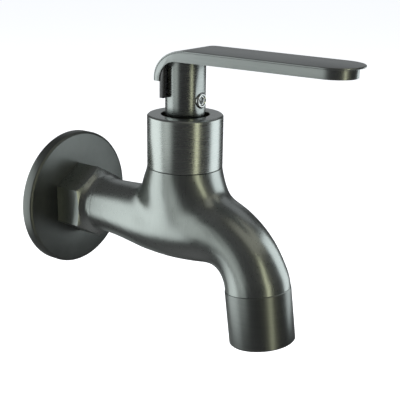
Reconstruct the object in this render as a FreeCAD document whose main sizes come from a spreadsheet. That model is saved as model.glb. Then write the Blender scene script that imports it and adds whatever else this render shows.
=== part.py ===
import FreeCAD, Part
import math
import os
import re
import Sketcher
from FreeCAD import Placement, Rotation, Vector

# Wall-mounted bib tap with a quarter-turn lever, in millimetres.
# The origin is the centre of the inlet on the wall plane, +X runs out from the wall
# along the inlet to the spout, and +Z is up along the stem. Heights count from the
# inlet's centre line.

document = FreeCAD.newDocument("bib_tap")
sheet = document.addObject("Spreadsheet::Sheet", "Sizes")
sub_parts = []


def formula(text):
    """The text with every named size pointing at its cell."""
    return re.sub(r"[a-z]\w*", lambda word: "Sizes." + word[0] if word[0] in sizes else word[0], text)


def bind(thing, prop, text):
    thing.setExpression(prop, formula(text))


def amount(alias):
    return float(sheet.get(alias))


# Sizes by name, in millimetres unless the note says degrees
sizes = {
    # Wall end
    "flange_diameter": 60.0,  # wall flange, over its rim
    "flange_depth": 5.1,  # wall flange, wall to front face
    "flange_wall": 1.5,  # wall flange, sheet thickness
    "flange_bevel": 1.0,  # wall flange, bevel round the front face, across the face
    "flange_bevel_depth": 0.6,  # the same bevel, along the rim
    "foam_width": 2.4,  # foam ring inside the flange rim
    "thread_diameter": 20.955,  # inlet thread, nominal half inch pipe, over its crests
    "thread_length": 13.0,  # inlet thread, behind the wall plane
    "thread_lead": 1.0,  # chamfer at the thread's start
    "relief_depth": 0.3,  # thread run-out under the flange, below the crests
    "inlet_bore": 13.0,  # waterway through the thread
    "flange_clearance": 0.2,  # flange hole round the thread run-out
    "collar_across": 28.0,  # hexagon collar, across flats
    "collar_corner": 32.2,  # hexagon collar, turned over its corners
    "collar_length": 12.8,  # hexagon collar, flange to the front edge of its flats
    "collar_fillet": 3.6,  # hollow between the collar's front cone and the tube
    "tube_straight": 6.0,  # straight stretch of the tube in front of the collar's flats
    # Body
    "bonnet_reach": 65.6,  # wall to stem centre line
    "tube_diameter": 23.7,  # inlet tube just in front of the collar
    "swell_diameter": 28.2,  # body under the stem
    "swell_drop": 0.5,  # how far the body's centre line sinks under the stem
    "swell_back": 4.7,  # lowest place of the belly, behind the stem
    "spout_diameter": 28.7,  # spout where its bend starts
    "spout_waist": 24.7,  # spout in the middle of its bend
    "spout_step": 0.15,  # how far the spout's end stands back from the outlet sleeve
    "spout_start": 13.96,  # stem centre line to the start of the bend
    "spout_rise": 1.6,  # how far the centre line lies above the inlet's where the bend starts
    "spout_radius": 23.67,  # spout bend, on its centre line
    "outlet_tilt": 7.8,  # outlet axis from the vertical, towards the front, in degrees
    "neck_height": 25.1,  # top of the neck
    "neck_step": 0.05,  # how far the neck stands back from the bonnet at their seam
    "neck_flare": 6.0,  # how far the neck spreads fore and aft at its root
    "neck_bulge": 0.15,  # how far the neck swells sideways
    "neck_root": 1.15,  # how far the neck's root lies inside the body's sides
    "neck_lean": 1.5,  # how far the neck's root leans to the front
    "neck_fillet": 5.8,  # hollow between the neck and the tube
    "seam_chamfer": 0.2,  # small chamfer on each edge of a seam
    # Waterway in the body
    "passage_diameter": 10.0,  # waterway under the seat
    "passage_drop": 8.3,  # waterway under the seat, below the inlet's centre
    "passage_slope_start": 26.0,  # where the waterway starts down, behind the stem
    "passage_slope_end": 11.0,  # where the waterway levels out, behind the stem
    "chamber_diameter": 19.2,  # valve chamber in the neck
    "chamber_floor": -1.5,  # seat face in the chamber
    "chamber_top": 13.5,  # where the chamber opens out to the headwork thread
    "spout_bore": 16.0,  # waterway through the spout
    "spout_bore_start": 8.0,  # stem centre line to the back of the spout waterway
    "spigot_diameter": 23.5,  # threaded end of the spout, inside the outlet sleeve
    "spigot_length": 8.0,  # threaded end of the spout, past the seam
    # Outlet
    "sleeve_diameter": 26.76,  # outlet sleeve
    "sleeve_length": 22.4,  # outlet sleeve, seam to mouth
    "sleeve_rim": 0.5,  # rounding of the sleeve's mouth, as a chamfer
    "sleeve_bore": 22.6,  # inside of the sleeve below the thread
    "sleeve_lip_bore": 20.4,  # hole in the sleeve's retaining lip
    "sleeve_lip": 1.2,  # thickness of the retaining lip
    "sleeve_run_out": 0.3,  # how far the sleeve's thread goes past the spigot
    "slip": 0.05,  # clearance round a piece that slips or screws into another
    "washer_thickness": 1.6,  # rubber washer over the aerator
    "washer_bore": 16.4,  # hole in the rubber washer
    "diffuser_thickness": 1.4,  # perforated plate of the aerator
    "diffuser_hole": 1.1,  # holes in the perforated plate
    "diffuser_pitch": 2.9,  # spacing of the rings of holes
    "screen_thickness": 0.35,  # each aerator screen
    "screen_gap": 0.9,  # between the aerator screens
    "screen_bar": 0.45,  # width of a screen's wires
    "screen_pitch": 1.9,  # spacing of a screen's wires
    "cage_wall": 1.3,  # wall of the aerator cage
    "cage_bar": 0.7,  # bars of the aerator grid
    "cage_pitch": 3.1,  # spacing of the grid's bars
    "cage_grid": 3.0,  # height of the grid's bars
    "cage_nose": 0.8,  # how far the grid stands into the lip
    "cage_play": 0.2,  # between the cage's nose and the lip
    # Headwork
    "seal_height": 2.5,  # seat seal, as squeezed
    "seal_bore": 10.6,  # hole in the seat seal
    "seal_step": 0.8,  # how far the seal stands out of the housing
    "disc_diameter": 15.8,  # ceramic discs
    "fixed_disc_height": 3.2,  # lower ceramic disc
    "moving_disc_height": 2.95,  # upper ceramic disc
    "disc_play": 0.1,  # radial play of the discs and the foot in the housing
    "key_width": 2.8,  # lugs that keep the lower disc from turning
    "key_reach": 8.6,  # reach of those lugs from the stem centre line
    "disc_film": 0.05,  # film of grease between the lapped faces
    "port_inner": 1.6,  # inner radius of the disc ports
    "port_outer": 6.6,  # outer radius of the disc ports
    "port_angle": 76.0,  # opening angle of a disc port, in degrees
    "housing_skirt": 17.8,  # housing over the disc cage
    "housing_thread": 20.955,  # housing thread in the neck, over its crests
    "fibre_thickness": 1.0,  # fibre washer under the housing's hexagon
    "fibre_play": 0.7,  # between the fibre washer and the bonnet
    "hexagon_play": 1.2,  # between the corners of the housing's hexagon and the bonnet
    "hexagon_height": 6.0,  # housing hexagon
    "hexagon_room": 0.4,  # space between the hexagon and the bonnet's step
    "collar_thread": 21.6,  # housing collar that the bonnet screws on
    "collar_thread_height": 5.6,  # height of that collar
    "crown_diameter": 15.2,  # stop crown on top of the housing
    "crown_height": 3.8,  # height of the stop crown
    "window_height": 5.6,  # outlet windows in the housing's skirt
    "window_sill": 5.9,  # lower edge of the windows above the seat face
    "window_width": 11.0,  # width of the windows
    "spindle_diameter": 10.0,  # spindle in the housing
    "running": 0.05,  # radial clearance of a turning fit
    "foot_diameter": 15.4,  # driving foot of the spindle
    "foot_height": 3.75,  # height of the driving foot
    "tang_width": 3.0,  # driving tang under the foot
    "tang_length": 11.0,  # length of the tang
    "tang_depth": 1.6,  # how deep the tang reaches into the upper disc
    "glide_thickness": 0.7,  # plastic glide washer over the foot
    "glide_play": 0.1,  # end play of the spindle
    "ring_section": 1.24,  # section of a spindle O-ring
    "ring_low": 17.0,  # lower O-ring above the seat face
    "ring_spacing": 5.0,  # spacing of the O-rings
    "stop_thickness": 0.8,  # stop ring on the spindle
    "stop_lug_width": 3.0,  # lug of the stop ring
    "stop_lug_depth": 2.6,  # how far the lug hangs into the crown
    "stop_margin": 1.5,  # spare angle at each end of the crown's notch, in degrees
    "quarter_turn": 90.0,  # travel of the lever, in degrees
    "spindle_flats": 8.4,  # spindle across the flats that carry the stop ring
    "clip_thickness": 0.7,  # retaining clip
    "clip_groove": 7.2,  # bottom of the clip's groove
    "clip_diameter": 11.6,  # retaining clip, outside
    "clip_gap": 4.0,  # opening of the retaining clip
    "spindle_land": 0.8,  # full diameter of the spindle above the clip
    "spline_diameter": 7.8,  # spline on top of the spindle
    "spline_depth": 0.4,  # depth of the spline's teeth
    "spline_teeth": 20,  # teeth of the spline
    "spline_length": 13.0,  # length of the spline
    # Bonnet and lever
    "bonnet_diameter": 30.8,  # bonnet sleeve
    "bonnet_height": 21.6,  # bonnet sleeve, seam to top
    "bonnet_rim": 0.6,  # chamfer round the bonnet's top
    "bonnet_bore": 19.7,  # hole in the bonnet's top
    "bonnet_web": 1.8,  # thickness of the bonnet's top
    "bonnet_wall": 1.5,  # wall of the bonnet round the hexagon
    "hub_diameter": 16.2,  # lever hub
    "hub_inset": 2.4,  # how far the hub reaches into the bonnet
    "hub_top": 68.9,  # underside of the lever plate
    "hub_flat": 2.8,  # upper flat behind the hub, from the stem centre line
    "hub_step": 61.9,  # height where the upper flat starts
    "hub_ledge": 54.0,  # height where the lower flat starts, which lies on the flap
    "hub_bore_depth": 16.6,  # spline bore in the hub
    "spline_clearance": 0.1,  # hub bore round the spline
    "lever_thickness": 4.56,  # lever plate, over all
    "lever_skin": 0.75,  # thin top skin of the lever, which overhangs its core
    "lever_width": 21.24,  # lever plate
    "lever_reach": 77.45,  # stem centre line to the lever's tip
    "lever_tip": 11.5,  # length of the skin's rounded tip
    "core_taper": 2.27,  # how far the core has drawn in on each side where its tip starts
    "core_taper_start": 2.0,  # stem centre line to the place where the core starts to draw in
    "core_short": 2.3,  # how far the core's tip stays behind the skin's
    "core_tip": 10.0,  # length of the core's rounded tip
    "lever_back": 7.75,  # stem centre line to the back of the lever
    "lever_bend": 15.3,  # length of the lever's bend, along the lever
    "lever_drop": 11.46,  # height of the lever's bend
    "flap_foot": 60.6,  # foot of the flap behind the hub
    "flap_thickness": 2.8,  # lever flap behind the hub
    "lever_inner_bend": 7.8,  # inner radius of the lever's bend
    "liner_inset": 0.3,  # how far the liner's sides stand back from the lever's
    "liner_front": 1.2,  # front of the liner, behind the stem centre line
    "liner_round": 3.5,  # hollow between the liner's front and the lever
    "bead_height": 0.25,  # bead down each side of the liner
    "bead_width": 0.5,  # width of those beads
    "bead_place": 2.6,  # middle of the beads, behind the stem centre line
    "screw_diameter": 4.0,  # screw that holds the lever on the hub
    "screw_head": 7.0,  # head of that screw
    "screw_head_height": 2.4,  # height of that head
    "screw_slot": 2.5,  # hexagon socket in that head, across flats
    "screw_slot_depth": 1.44,  # depth of that socket
    "screw_play": 0.15,  # clearance round that screw and past its end
    "screw_hold": 2.6,  # how deep that screw reaches into the lever
    "grub_diameter": 6.0,  # grub screw
    "grub_height": 53.0,  # grub screw above the inlet's centre
    "grub_stand": 0.45,  # how far the grub screw stands out of the hub
    "grub_chamfer": 0.4,  # chamfer at each end of the grub screw
    "grub_socket": 3.0,  # its hexagon socket, across flats
    "grub_socket_depth": 2.2,  # depth of the socket
}
for row, (alias, value) in enumerate(sizes.items(), start=1):
    sheet.set("A%d" % row, str(value))
    sheet.setAlias("A%d" % row, alias)

# Heights and places that follow from the sizes
collar_front = "(flange_depth + collar_length)"
tube_start = "(%s + tube_straight)" % collar_front
seal_top = "(chamber_floor + seal_height)"
disc_joint = "(%s + fixed_disc_height)" % seal_top
disc_bottom = "(%s + disc_film)" % disc_joint
disc_top = "(%s + moving_disc_height)" % disc_bottom
foot_bottom = "(%s + disc_film)" % disc_top
foot_top = "(%s + foot_height)" % foot_bottom
cavity_top = "(%s + glide_thickness + glide_play)" % foot_top
hexagon_bottom = "(neck_height + fibre_thickness)"
hexagon_top = "(%s + hexagon_height)" % hexagon_bottom
collar_top = "(%s + collar_thread_height)" % hexagon_top
crown_top = "(%s + crown_height)" % collar_top
stop_bottom = "(%s + disc_film)" % crown_top
stop_top = "(%s + stop_thickness)" % stop_bottom
clip_top = "(%s + clip_thickness)" % stop_top
spline_bottom = "(%s + spindle_land)" % clip_top
spline_top = "(%s + spline_length)" % spline_bottom
neck_across = "(bonnet_diameter - 2 * neck_step)"
skirt_bore = "(bonnet_diameter - 2 * bonnet_wall)"
bonnet_top = "(neck_height + bonnet_height)"
hub_bottom = "(%s - hub_inset)" % bonnet_top
hub_bore_top = "(%s + hub_bore_depth)" % hub_bottom
lever_top = "(hub_top + lever_thickness)"
bend_x = "(lever_bend - lever_back)"
bend_z = "(%s - lever_drop)" % lever_top
flap_front = "(lever_back - flap_thickness)"
outlet_x = "(bonnet_reach + spout_start + spout_radius * cos(outlet_tilt * 1deg))"
outlet_z = "(spout_rise - spout_radius * (1 - sin(outlet_tilt * 1deg)))"
washer_top = "(-spigot_length)"
diffuser_top = "(%s - washer_thickness)" % washer_top
cage_top = "(%s - diffuser_thickness)" % diffuser_top
lip_top = "(-sleeve_length + sleeve_lip)"
insert_radius = "(sleeve_bore / 2 - slip)"
screen_radius = "(%s - cage_wall - slip)" % insert_radius


def sub_part(thing, name):
    """Registers the finished sub-part under the name of its file."""
    thing.Label = name
    sub_parts.append(thing)
    return thing


def place(thing, x="0", y="0", z="0", axis=None, angle="0"):
    """Puts the thing at x, y, z, turned about the axis."""
    if axis is not None:
        thing.Placement = Placement(Vector(0, 0, 0), Rotation(axis, 45))
        bind(thing, "Placement.Rotation.Angle", angle)
    bind(thing, "Placement.Base.x", x)
    bind(thing, "Placement.Base.y", y)
    bind(thing, "Placement.Base.z", z)
    return thing


def on_stem(thing):
    return place(thing, x="bonnet_reach")


def at_outlet(thing):
    return place(thing, x=outlet_x, z=outlet_z, axis=Vector(0, -1, 0), angle="outlet_tilt")


def cylinder(name, radius, height, **where):
    solid = document.addObject("Part::Cylinder", name)
    bind(solid, "Radius", radius)
    bind(solid, "Height", height)
    return place(solid, **where)


def box(name, length, width, height, **where):
    solid = document.addObject("Part::Box", name)
    bind(solid, "Length", length)
    bind(solid, "Width", width)
    bind(solid, "Height", height)
    return place(solid, **where)


def sphere(name, radius, **where):
    solid = document.addObject("Part::Sphere", name)
    bind(solid, "Radius", radius)
    return place(solid, **where)


def joined(name, things):
    fuse = document.addObject("Part::MultiFuse", name)
    fuse.Shapes = things
    fuse.Refine = True
    return fuse


def cut(name, base, tool):
    result = document.addObject("Part::Cut", name)
    result.Base = base
    result.Tool = tool
    return result


def common(name, first, second):
    result = document.addObject("Part::Common", name)
    result.Base = first
    result.Tool = second
    return result


def plane_of(body, role):
    return [part for part in body.Origin.OriginFeatures if part.Role == role][0]


def outline(body, name, corners, role="XZ_Plane"):
    """A closed sketch of straight sides. Each corner is a pair of formulas."""
    sketch = body.newObject("Sketcher::SketchObject", name)
    sketch.AttachmentSupport = [(plane_of(body, role), "")]
    sketch.MapMode = "FlatFace"
    count = len(corners)
    spread = 40.0
    ring = [
        Vector(spread * math.cos(math.tau * i / count), spread * math.sin(math.tau * i / count), 0)
        for i in range(count)
    ]
    for i in range(count):
        sketch.addGeometry(Part.LineSegment(ring[i], ring[(i + 1) % count]), False)
    for i in range(count):
        sketch.addConstraint(Sketcher.Constraint("Coincident", i, 2, (i + 1) % count, 1))
    for i, (across, up) in enumerate(corners):
        if across == "0":
            sketch.addConstraint(Sketcher.Constraint("PointOnObject", i, 1, -2))
        else:
            index = sketch.addConstraint(Sketcher.Constraint("DistanceX", -1, 1, i, 1, ring[i].x))
            bind(sketch, "Constraints[%d]" % index, across)
        if up == "0":
            sketch.addConstraint(Sketcher.Constraint("PointOnObject", i, 1, -1))
        else:
            index = sketch.addConstraint(Sketcher.Constraint("DistanceY", -1, 1, i, 1, ring[i].y))
            bind(sketch, "Constraints[%d]" % index, up)
    return sketch


def turned(name, corners, axis="V_Axis", body=None):
    """A body of revolution: about the stem with V_Axis, about the inlet with H_Axis."""
    if body is None:
        body = document.addObject("PartDesign::Body", name)
    sketch = outline(body, name + "_outline", corners)
    revolution = body.newObject("PartDesign::Revolution", name + "_turning")
    revolution.Profile = sketch
    revolution.ReferenceAxis = (sketch, [axis])
    revolution.Angle = 360
    sketch.Visibility = False
    body.Tip = revolution
    return body


def ring_of(name, inner, outer, low, high):
    corners = [(inner, low), (outer, low), (outer, high), (inner, high)]
    return turned(name, corners)


def hexagonal_prism(name, across, height, **where):
    """A hexagonal bar of the given width across its flats."""
    polygon = document.addObject("Part::RegularPolygon", name + "_section")
    polygon.Polygon = 6
    bind(polygon, "Circumradius", "(%s) / 2 / cos(30deg)" % across)
    prism = document.addObject("Part::Extrusion", name)
    prism.Base = polygon
    prism.DirMode = "Custom"
    prism.Dir = Vector(0, 0, 1)
    prism.Solid = True
    bind(prism, "LengthFwd", height)
    return place(prism, **where)


# Wall flange
def wall_flange():
    """A shallow cup over the thread: a front plate with a rim that meets the wall."""
    hole = "(thread_diameter / 2 + flange_clearance)"
    rim = "(flange_diameter / 2)"
    inside = "(flange_diameter / 2 - flange_wall)"
    corners = [
        ("flange_depth - flange_wall", hole),
        ("flange_depth", hole),
        ("flange_depth", "%s - flange_bevel" % rim),
        ("flange_depth - flange_bevel_depth", rim),
        ("0", rim),
        ("0", inside),
        ("flange_depth - flange_wall", inside),
    ]
    place(sub_part(turned("wall_flange", corners, "H_Axis"), "wall_flange"))


def flange_foam():
    """A soft ring inside the rim that seals the flange to the wall."""
    outer = "(flange_diameter / 2 - flange_wall)"
    corners = [
        ("0", "%s - foam_width" % outer),
        ("flange_depth - flange_wall", "%s - foam_width" % outer),
        ("flange_depth - flange_wall", outer),
        ("0", outer),
    ]
    place(sub_part(turned("flange_foam", corners, "H_Axis"), "flange_foam"))


# Body casting
def section(name, radius, x, z, angle):
    """A round section square to the water's way, which turns down by the angle."""
    circle = document.addObject("Part::Circle", name)
    bind(circle, "Radius", radius)
    return place(circle, x=x, z=z, axis=Vector(0, 1, 0), angle=angle)


def loft(name, sections):
    result = document.addObject("Part::Loft", name)
    result.Sections = sections
    result.Solid = True
    result.Ruled = False
    result.MaxDegree = 5
    return result


def eased(step, steps):
    return (1 - math.cos(math.pi * step / steps)) / 2


def tube_and_spout():
    """The tube swells under the stem, then bends down into the spout."""
    sections = []
    back_steps = 4
    for step in range(back_steps + 1):
        share = step / back_steps
        ease = eased(step, back_steps)
        x = "%s + (bonnet_reach - swell_back - %s) * %.4f" % (tube_start, tube_start, share)
        radius = "(tube_diameter + (swell_diameter - tube_diameter) * %.4f) / 2" % ease
        sections.append(section("back_%d" % step, radius, x, "-swell_drop * %.4f" % ease, "90"))
    front_steps = 2
    for step in range(1, front_steps + 1):
        share = step / front_steps
        ease = eased(step, front_steps)
        x = "bonnet_reach - swell_back + (swell_back + spout_start) * %.4f" % share
        radius = "(swell_diameter + (spout_diameter - swell_diameter) * %.4f) / 2" % ease
        z = "spout_rise * %.4f - swell_drop * (1 - %.4f)" % (ease, ease)
        sections.append(section("front_%d" % step, radius, x, z, "90"))
    bend_steps = 6
    for step in range(1, bend_steps + 1):
        share = step / bend_steps
        turn = "((90 - outlet_tilt) * %.4f)" % share
        x = "bonnet_reach + spout_start + spout_radius * sin(%s * 1deg)" % turn
        z = "spout_rise - spout_radius * (1 - cos(%s * 1deg))" % turn
        near_end = max(0.0, 2 * share - 1)
        far_end = max(0.0, 1 - 2 * share)
        radius = "(spout_waist + (spout_diameter - spout_waist) * %.4f) / 2" % (far_end ** 2)
        radius += " + (sleeve_diameter / 2 - spout_step - spout_waist / 2) * %.4f" % (near_end ** 2)
        sections.append(section("bend_%d" % step, radius, x, z, "90 + %s" % turn))
    return loft("tube_and_spout", sections)


def neck():
    """The neck spreads fore and aft where it grows out of the tube."""
    sections = []
    steps = 5
    flare_end = 0.6
    bulge_end = 0.7
    root_start = 0.5
    hair = 0.001
    for step in range(steps + 1):
        share = step / steps
        spread = min(1.0, (share / flare_end) ** 2)
        bulge = math.sin(math.pi * min(1.0, share / bulge_end))
        drawn_in = max(0.0, share - root_start) / (1 - root_start)
        root = "((%s - swell_diameter) / 2 + neck_root)" % neck_across
        long_radius = "%s / 2 + %s + neck_flare * %.4f" % (neck_across, hair, spread)
        wide_radius = "%s / 2 + neck_bulge * %.4f - %s * %.4f" % (neck_across, bulge, root, drawn_in)
        ellipse = document.addObject("Part::Ellipse", "neck_%d" % step)
        bind(ellipse, "MajorRadius", long_radius)
        bind(ellipse, "MinorRadius", wide_radius)
        place(ellipse, x="bonnet_reach + neck_lean * %.4f" % spread, z="neck_height * (1 - %.4f)" % share)
        sections.append(ellipse)
    return loft("neck", sections)


def edges_where(shape, test):
    """Numbers of the edges that pass the test, as the fillets want them."""
    return [number for number, edge in enumerate(shape.Edges, 1) if test(edge)]


def rounded(name, base, radius, test):
    """Fillets the edges of base that pass the test."""
    document.recompute()
    result = document.addObject("Part::Fillet", name)
    result.Base = base
    result.Edges = [(number, radius, radius) for number in edges_where(base.Shape, test)]
    return result


def along_x(name, radius, start, end, z="0"):
    """A cylinder along the inlet, from start to end."""
    return cylinder(name, radius, "%s - (%s)" % (end, start), x=start, z=z, axis=Vector(0, 1, 0), angle="90")


def collar():
    """A hexagon whose front is turned to a cone, as on a nut."""
    prism = hexagonal_prism(
        "collar_prism", "collar_across", "collar_length + collar_across / 2",
        x="flange_depth", axis=Vector(0, 1, 0), angle="90",
    )
    corner = "(collar_corner / 2)"
    edge = "(%s + collar_across / 2 - %s)" % (collar_front, corner)
    core = "(tube_diameter / 4)"
    corners = [
        ("flange_depth", "0"),
        ("flange_depth", corner),
        (edge, corner),
        ("%s + collar_across / 2 - %s" % (collar_front, core), core),
        ("%s + collar_across / 2 - %s" % (collar_front, core), "0"),
    ]
    turning = turned("collar_turning", corners, "H_Axis")
    return common("collar", prism, turning)


def inlet_thread():
    """The inlet's pipe thread at its full diameter, with a run-out under the flange."""
    crest = "(thread_diameter / 2)"
    corners = [
        ("-thread_length", "0"),
        ("-thread_length", "%s - thread_lead" % crest),
        ("thread_lead - thread_length", crest),
        ("0", crest),
        ("0", "%s - relief_depth" % crest),
        ("flange_depth", "%s - relief_depth" % crest),
        ("flange_depth", "0"),
    ]
    return turned("inlet_thread", corners, "H_Axis")


def at_outlet_depth(depth):
    """Place and turn of a thing whose top is at the depth below the outlet's seam."""
    return {
        "x": "%s + (%s) * sin(outlet_tilt * 1deg)" % (outlet_x, depth),
        "z": "%s - (%s) * cos(outlet_tilt * 1deg)" % (outlet_z, depth),
        "axis": Vector(0, -1, 0),
        "angle": "outlet_tilt",
    }


def waterway():
    """Inlet bore, dip under the seat, valve chamber and spout bore, as one tool."""
    bore = "(passage_diameter / 2)"
    slope_x = "(bonnet_reach - passage_slope_start)"
    level_x = "(bonnet_reach - passage_slope_end)"
    run = "(passage_slope_start - passage_slope_end)"
    slope = cylinder(
        "slope_bore", bore, "sqrt(%s ^ 2 + passage_drop ^ 2)" % run,
        x=slope_x, axis=Vector(0, 1, 0), angle="90deg + atan(passage_drop / %s)" % run,
    )
    chamber_height = "chamber_top - chamber_floor + 1"
    bend = document.addObject("Part::Torus", "bend_bore")
    bind(bend, "Radius1", "spout_radius")
    bind(bend, "Radius2", "spout_bore / 2")
    bind(bend, "Angle3", "90 - outlet_tilt")
    place(
        bend, x="bonnet_reach + spout_start", z="spout_rise - spout_radius",
        axis=Vector(-1, -1, -1), angle="120",
    )
    return joined("waterway", [
        along_x("inlet_bore", "inlet_bore / 2", "(-thread_length - 1)", slope_x),
        sphere("slope_top", "inlet_bore / 2", x=slope_x, axis=Vector(0, 1, 0), angle="90"),
        slope,
        sphere("slope_foot", bore, x=level_x, z="-passage_drop", axis=Vector(0, 1, 0), angle="90"),
        along_x("level_bore", bore, level_x, "bonnet_reach", z="-passage_drop"),
        sphere("level_end", bore, x="bonnet_reach", z="-passage_drop", axis=Vector(0, 1, 0), angle="135"),
        cylinder("seat_port", bore, "passage_drop + chamber_floor + 1", x="bonnet_reach", z="-passage_drop"),
        cylinder("chamber", "chamber_diameter / 2", chamber_height, x="bonnet_reach", z="chamber_floor"),
        cylinder(
            "headwork_thread", "housing_thread / 2 + slip", "neck_height - chamber_top + 1",
            x="bonnet_reach", z="chamber_top",
        ),
        along_x(
            "spout_start_bore", "spout_bore / 2",
            "bonnet_reach + spout_bore_start", "bonnet_reach + spout_start", z="spout_rise",
        ),
        bend,
        cylinder(
            "spigot_bore", "spout_bore / 2", "spigot_length + 1",
            **at_outlet_depth("spigot_length + 1"),
        ),
    ])


def body_casting():
    """Inlet thread, hexagon collar, tube, neck and spout in one casting, with its waterway."""
    swept = joined("tube_and_neck", [tube_and_spout(), neck()])
    reach = amount("bonnet_reach")
    spread = amount("bonnet_diameter")
    top = amount("neck_height")

    def round_the_neck(edge):
        """The closed seam where the neck grows out of the tube."""
        space = edge.BoundBox
        under_the_bonnet = abs(space.Center.x - reach) < spread / 2
        below_the_top = 0 < space.ZMax < top - 2
        return edge.isClosed() and edge.Length > 2.5 * spread and below_the_top and under_the_bonnet

    body_shape = rounded("tube_and_neck_rounded", swept, amount("neck_fillet"), round_the_neck)
    root = along_x("tube_root", "tube_diameter / 2", "flange_depth", tube_start)
    collar_and_root = joined("collar_and_root", [collar(), root])
    cone_foot = amount("flange_depth") + amount("collar_length")
    cone_foot += (amount("collar_across") - amount("tube_diameter")) / 2
    collar_shape = rounded(
        "collar_rounded", collar_and_root, amount("collar_fillet"),
        lambda edge: abs(edge.BoundBox.XMax - cone_foot) < 0.01 and edge.BoundBox.XLength < 0.01,
    )
    spigot = cylinder(
        "spigot", "spigot_diameter / 2", "spigot_length + 1",
        **at_outlet_depth("spigot_length"),
    )
    outside = joined("casting_outside", [body_shape, collar_shape, inlet_thread(), spigot])
    sub_part(cut("body_casting", outside, waterway()), "body_casting")


# Headwork, in the order in which it goes into the neck
def sector(name, inner, outer, low, height, start, opening):
    """A slice of a ring on the stem, from the start angle over the opening angle."""
    slices = []
    for label, radius in (("outer", outer), ("inner", inner)):
        disc = cylinder(
            "%s_%s" % (name, label), radius, height,
            x="bonnet_reach", z=low, axis=Vector(0, 0, 1), angle=start,
        )
        bind(disc, "Angle", opening)
        slices.append(disc)
    return cut(name, slices[0], slices[1])


def stem_box(name, left, right, half_width, low, high):
    """A box across the stem, from left to right of its centre line along X."""
    return box(
        name, "%s - (%s)" % (right, left), "2 * (%s)" % half_width, "%s - (%s)" % (high, low),
        x="bonnet_reach + (%s)" % left, y="-(%s)" % half_width, z=low,
    )


def seat_seal():
    radius = "(disc_diameter / 2 - slip)"
    on_stem(sub_part(ring_of("seat_seal", "seal_bore / 2", radius, "chamber_floor", seal_top), "seat_seal"))


def fixed_disc():
    """Lower ceramic disc: ports fore and aft, and lugs that hold it in the housing."""
    radius = "(disc_diameter / 2 - slip)"
    blank = cylinder("fixed_blank", radius, "fixed_disc_height", x="bonnet_reach", z=seal_top)
    lugs = box(
        "fixed_lugs", "key_width", "2 * key_reach", "fixed_disc_height",
        x="bonnet_reach - key_width / 2", y="-key_reach", z=seal_top,
    )
    ports = [
        sector(
            "fixed_port_%d" % side, "port_inner", "port_outer", "%s - 1" % seal_top,
            "fixed_disc_height + 2", "%d - port_angle / 2" % (360 + 180 * side), "port_angle",
        )
        for side in range(2)
    ]
    disc = cut("fixed_disc", joined("fixed_body", [blank, lugs]), joined("fixed_ports", ports))
    sub_part(disc, "fixed_ceramic_disc")


def moving_disc():
    """Upper ceramic disc: its ports lie across the lower ones when the tap is shut."""
    radius = "(disc_diameter / 2 - disc_play)"
    blank = cylinder("moving_blank", radius, "moving_disc_height", x="bonnet_reach", z=disc_bottom)
    ports = [
        sector(
            "moving_port_%d" % side, "port_inner", "port_outer", "%s - 1" % disc_bottom,
            "moving_disc_height + 2", "%d - port_angle / 2" % (90 + 180 * side), "port_angle",
        )
        for side in range(2)
    ]
    half = "(tang_length / 2 + disc_play)"
    slot = stem_box(
        "moving_slot", "-" + half, half, "tang_width / 2 + slip",
        "%s - tang_depth - slip" % disc_top, "%s + 1" % disc_top,
    )
    sub_part(cut("moving_disc", blank, joined("moving_cuts", ports + [slot])), "moving_ceramic_disc")


def headwork_housing():
    """Brass housing: disc cage with windows, thread, hexagon, bonnet thread and stop crown."""
    cavity = "(disc_diameter / 2 + disc_play)"
    bore = "(spindle_diameter / 2 + running)"
    bottom = "(chamber_floor + seal_step)"
    corners = [
        (cavity, bottom),
        ("housing_skirt / 2", bottom),
        ("housing_skirt / 2", "chamber_top"),
        ("housing_thread / 2", "chamber_top"),
        ("housing_thread / 2", hexagon_top),
        ("collar_thread / 2", hexagon_top),
        ("collar_thread / 2", collar_top),
        ("crown_diameter / 2", collar_top),
        ("crown_diameter / 2", crown_top),
        (bore, crown_top),
        (bore, cavity_top),
        (cavity, cavity_top),
    ]
    core = on_stem(turned("housing_core", corners))
    across = "(%s - 2 * hexagon_play) * cos(30deg)" % skirt_bore
    hexagon = hexagonal_prism("housing_hexagon", across, "hexagon_height", x="bonnet_reach", z=hexagon_bottom)
    hole = cylinder(
        "housing_hexagon_hole", "collar_thread / 2 - 1", "hexagon_height",
        x="bonnet_reach", z=hexagon_bottom,
    )
    solid = joined("housing_solid", [core, cut("housing_nut", hexagon, hole)])
    reach = "(housing_skirt / 2 + 1)"
    sill = "(chamber_floor + window_sill)"
    windows = box(
        "housing_windows", "window_width", "2 * " + reach, "window_height",
        x="bonnet_reach - window_width / 2", y="-" + reach, z=sill,
    )
    slots = box(
        "housing_slots", "key_width + 2 * slip", "2 * " + reach, "%s - %s + 1" % (disc_joint, bottom),
        x="bonnet_reach - key_width / 2 - slip", y="-" + reach, z="%s - 1" % bottom,
    )
    lug_angle = "asin(stop_lug_width / spindle_diameter)"
    notch = sector(
        "stop_notch", "spindle_diameter / 4", "crown_diameter / 2 + 1",
        "%s - stop_lug_depth - running" % crown_top, "stop_lug_depth + 1",
        "180deg - %s - stop_margin * 1deg" % lug_angle,
        "(quarter_turn + 2 * stop_margin) * 1deg + 2 * %s" % lug_angle,
    )
    sub_part(cut("housing", solid, joined("housing_cuts", [windows, slots, notch])), "headwork_housing")


def fibre_washer():
    inner = "(housing_thread / 2 + slip)"
    ring = ring_of("fibre_washer", inner, "%s / 2 - fibre_play" % skirt_bore, "neck_height", hexagon_bottom)
    on_stem(sub_part(ring, "fibre_washer"))


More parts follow.
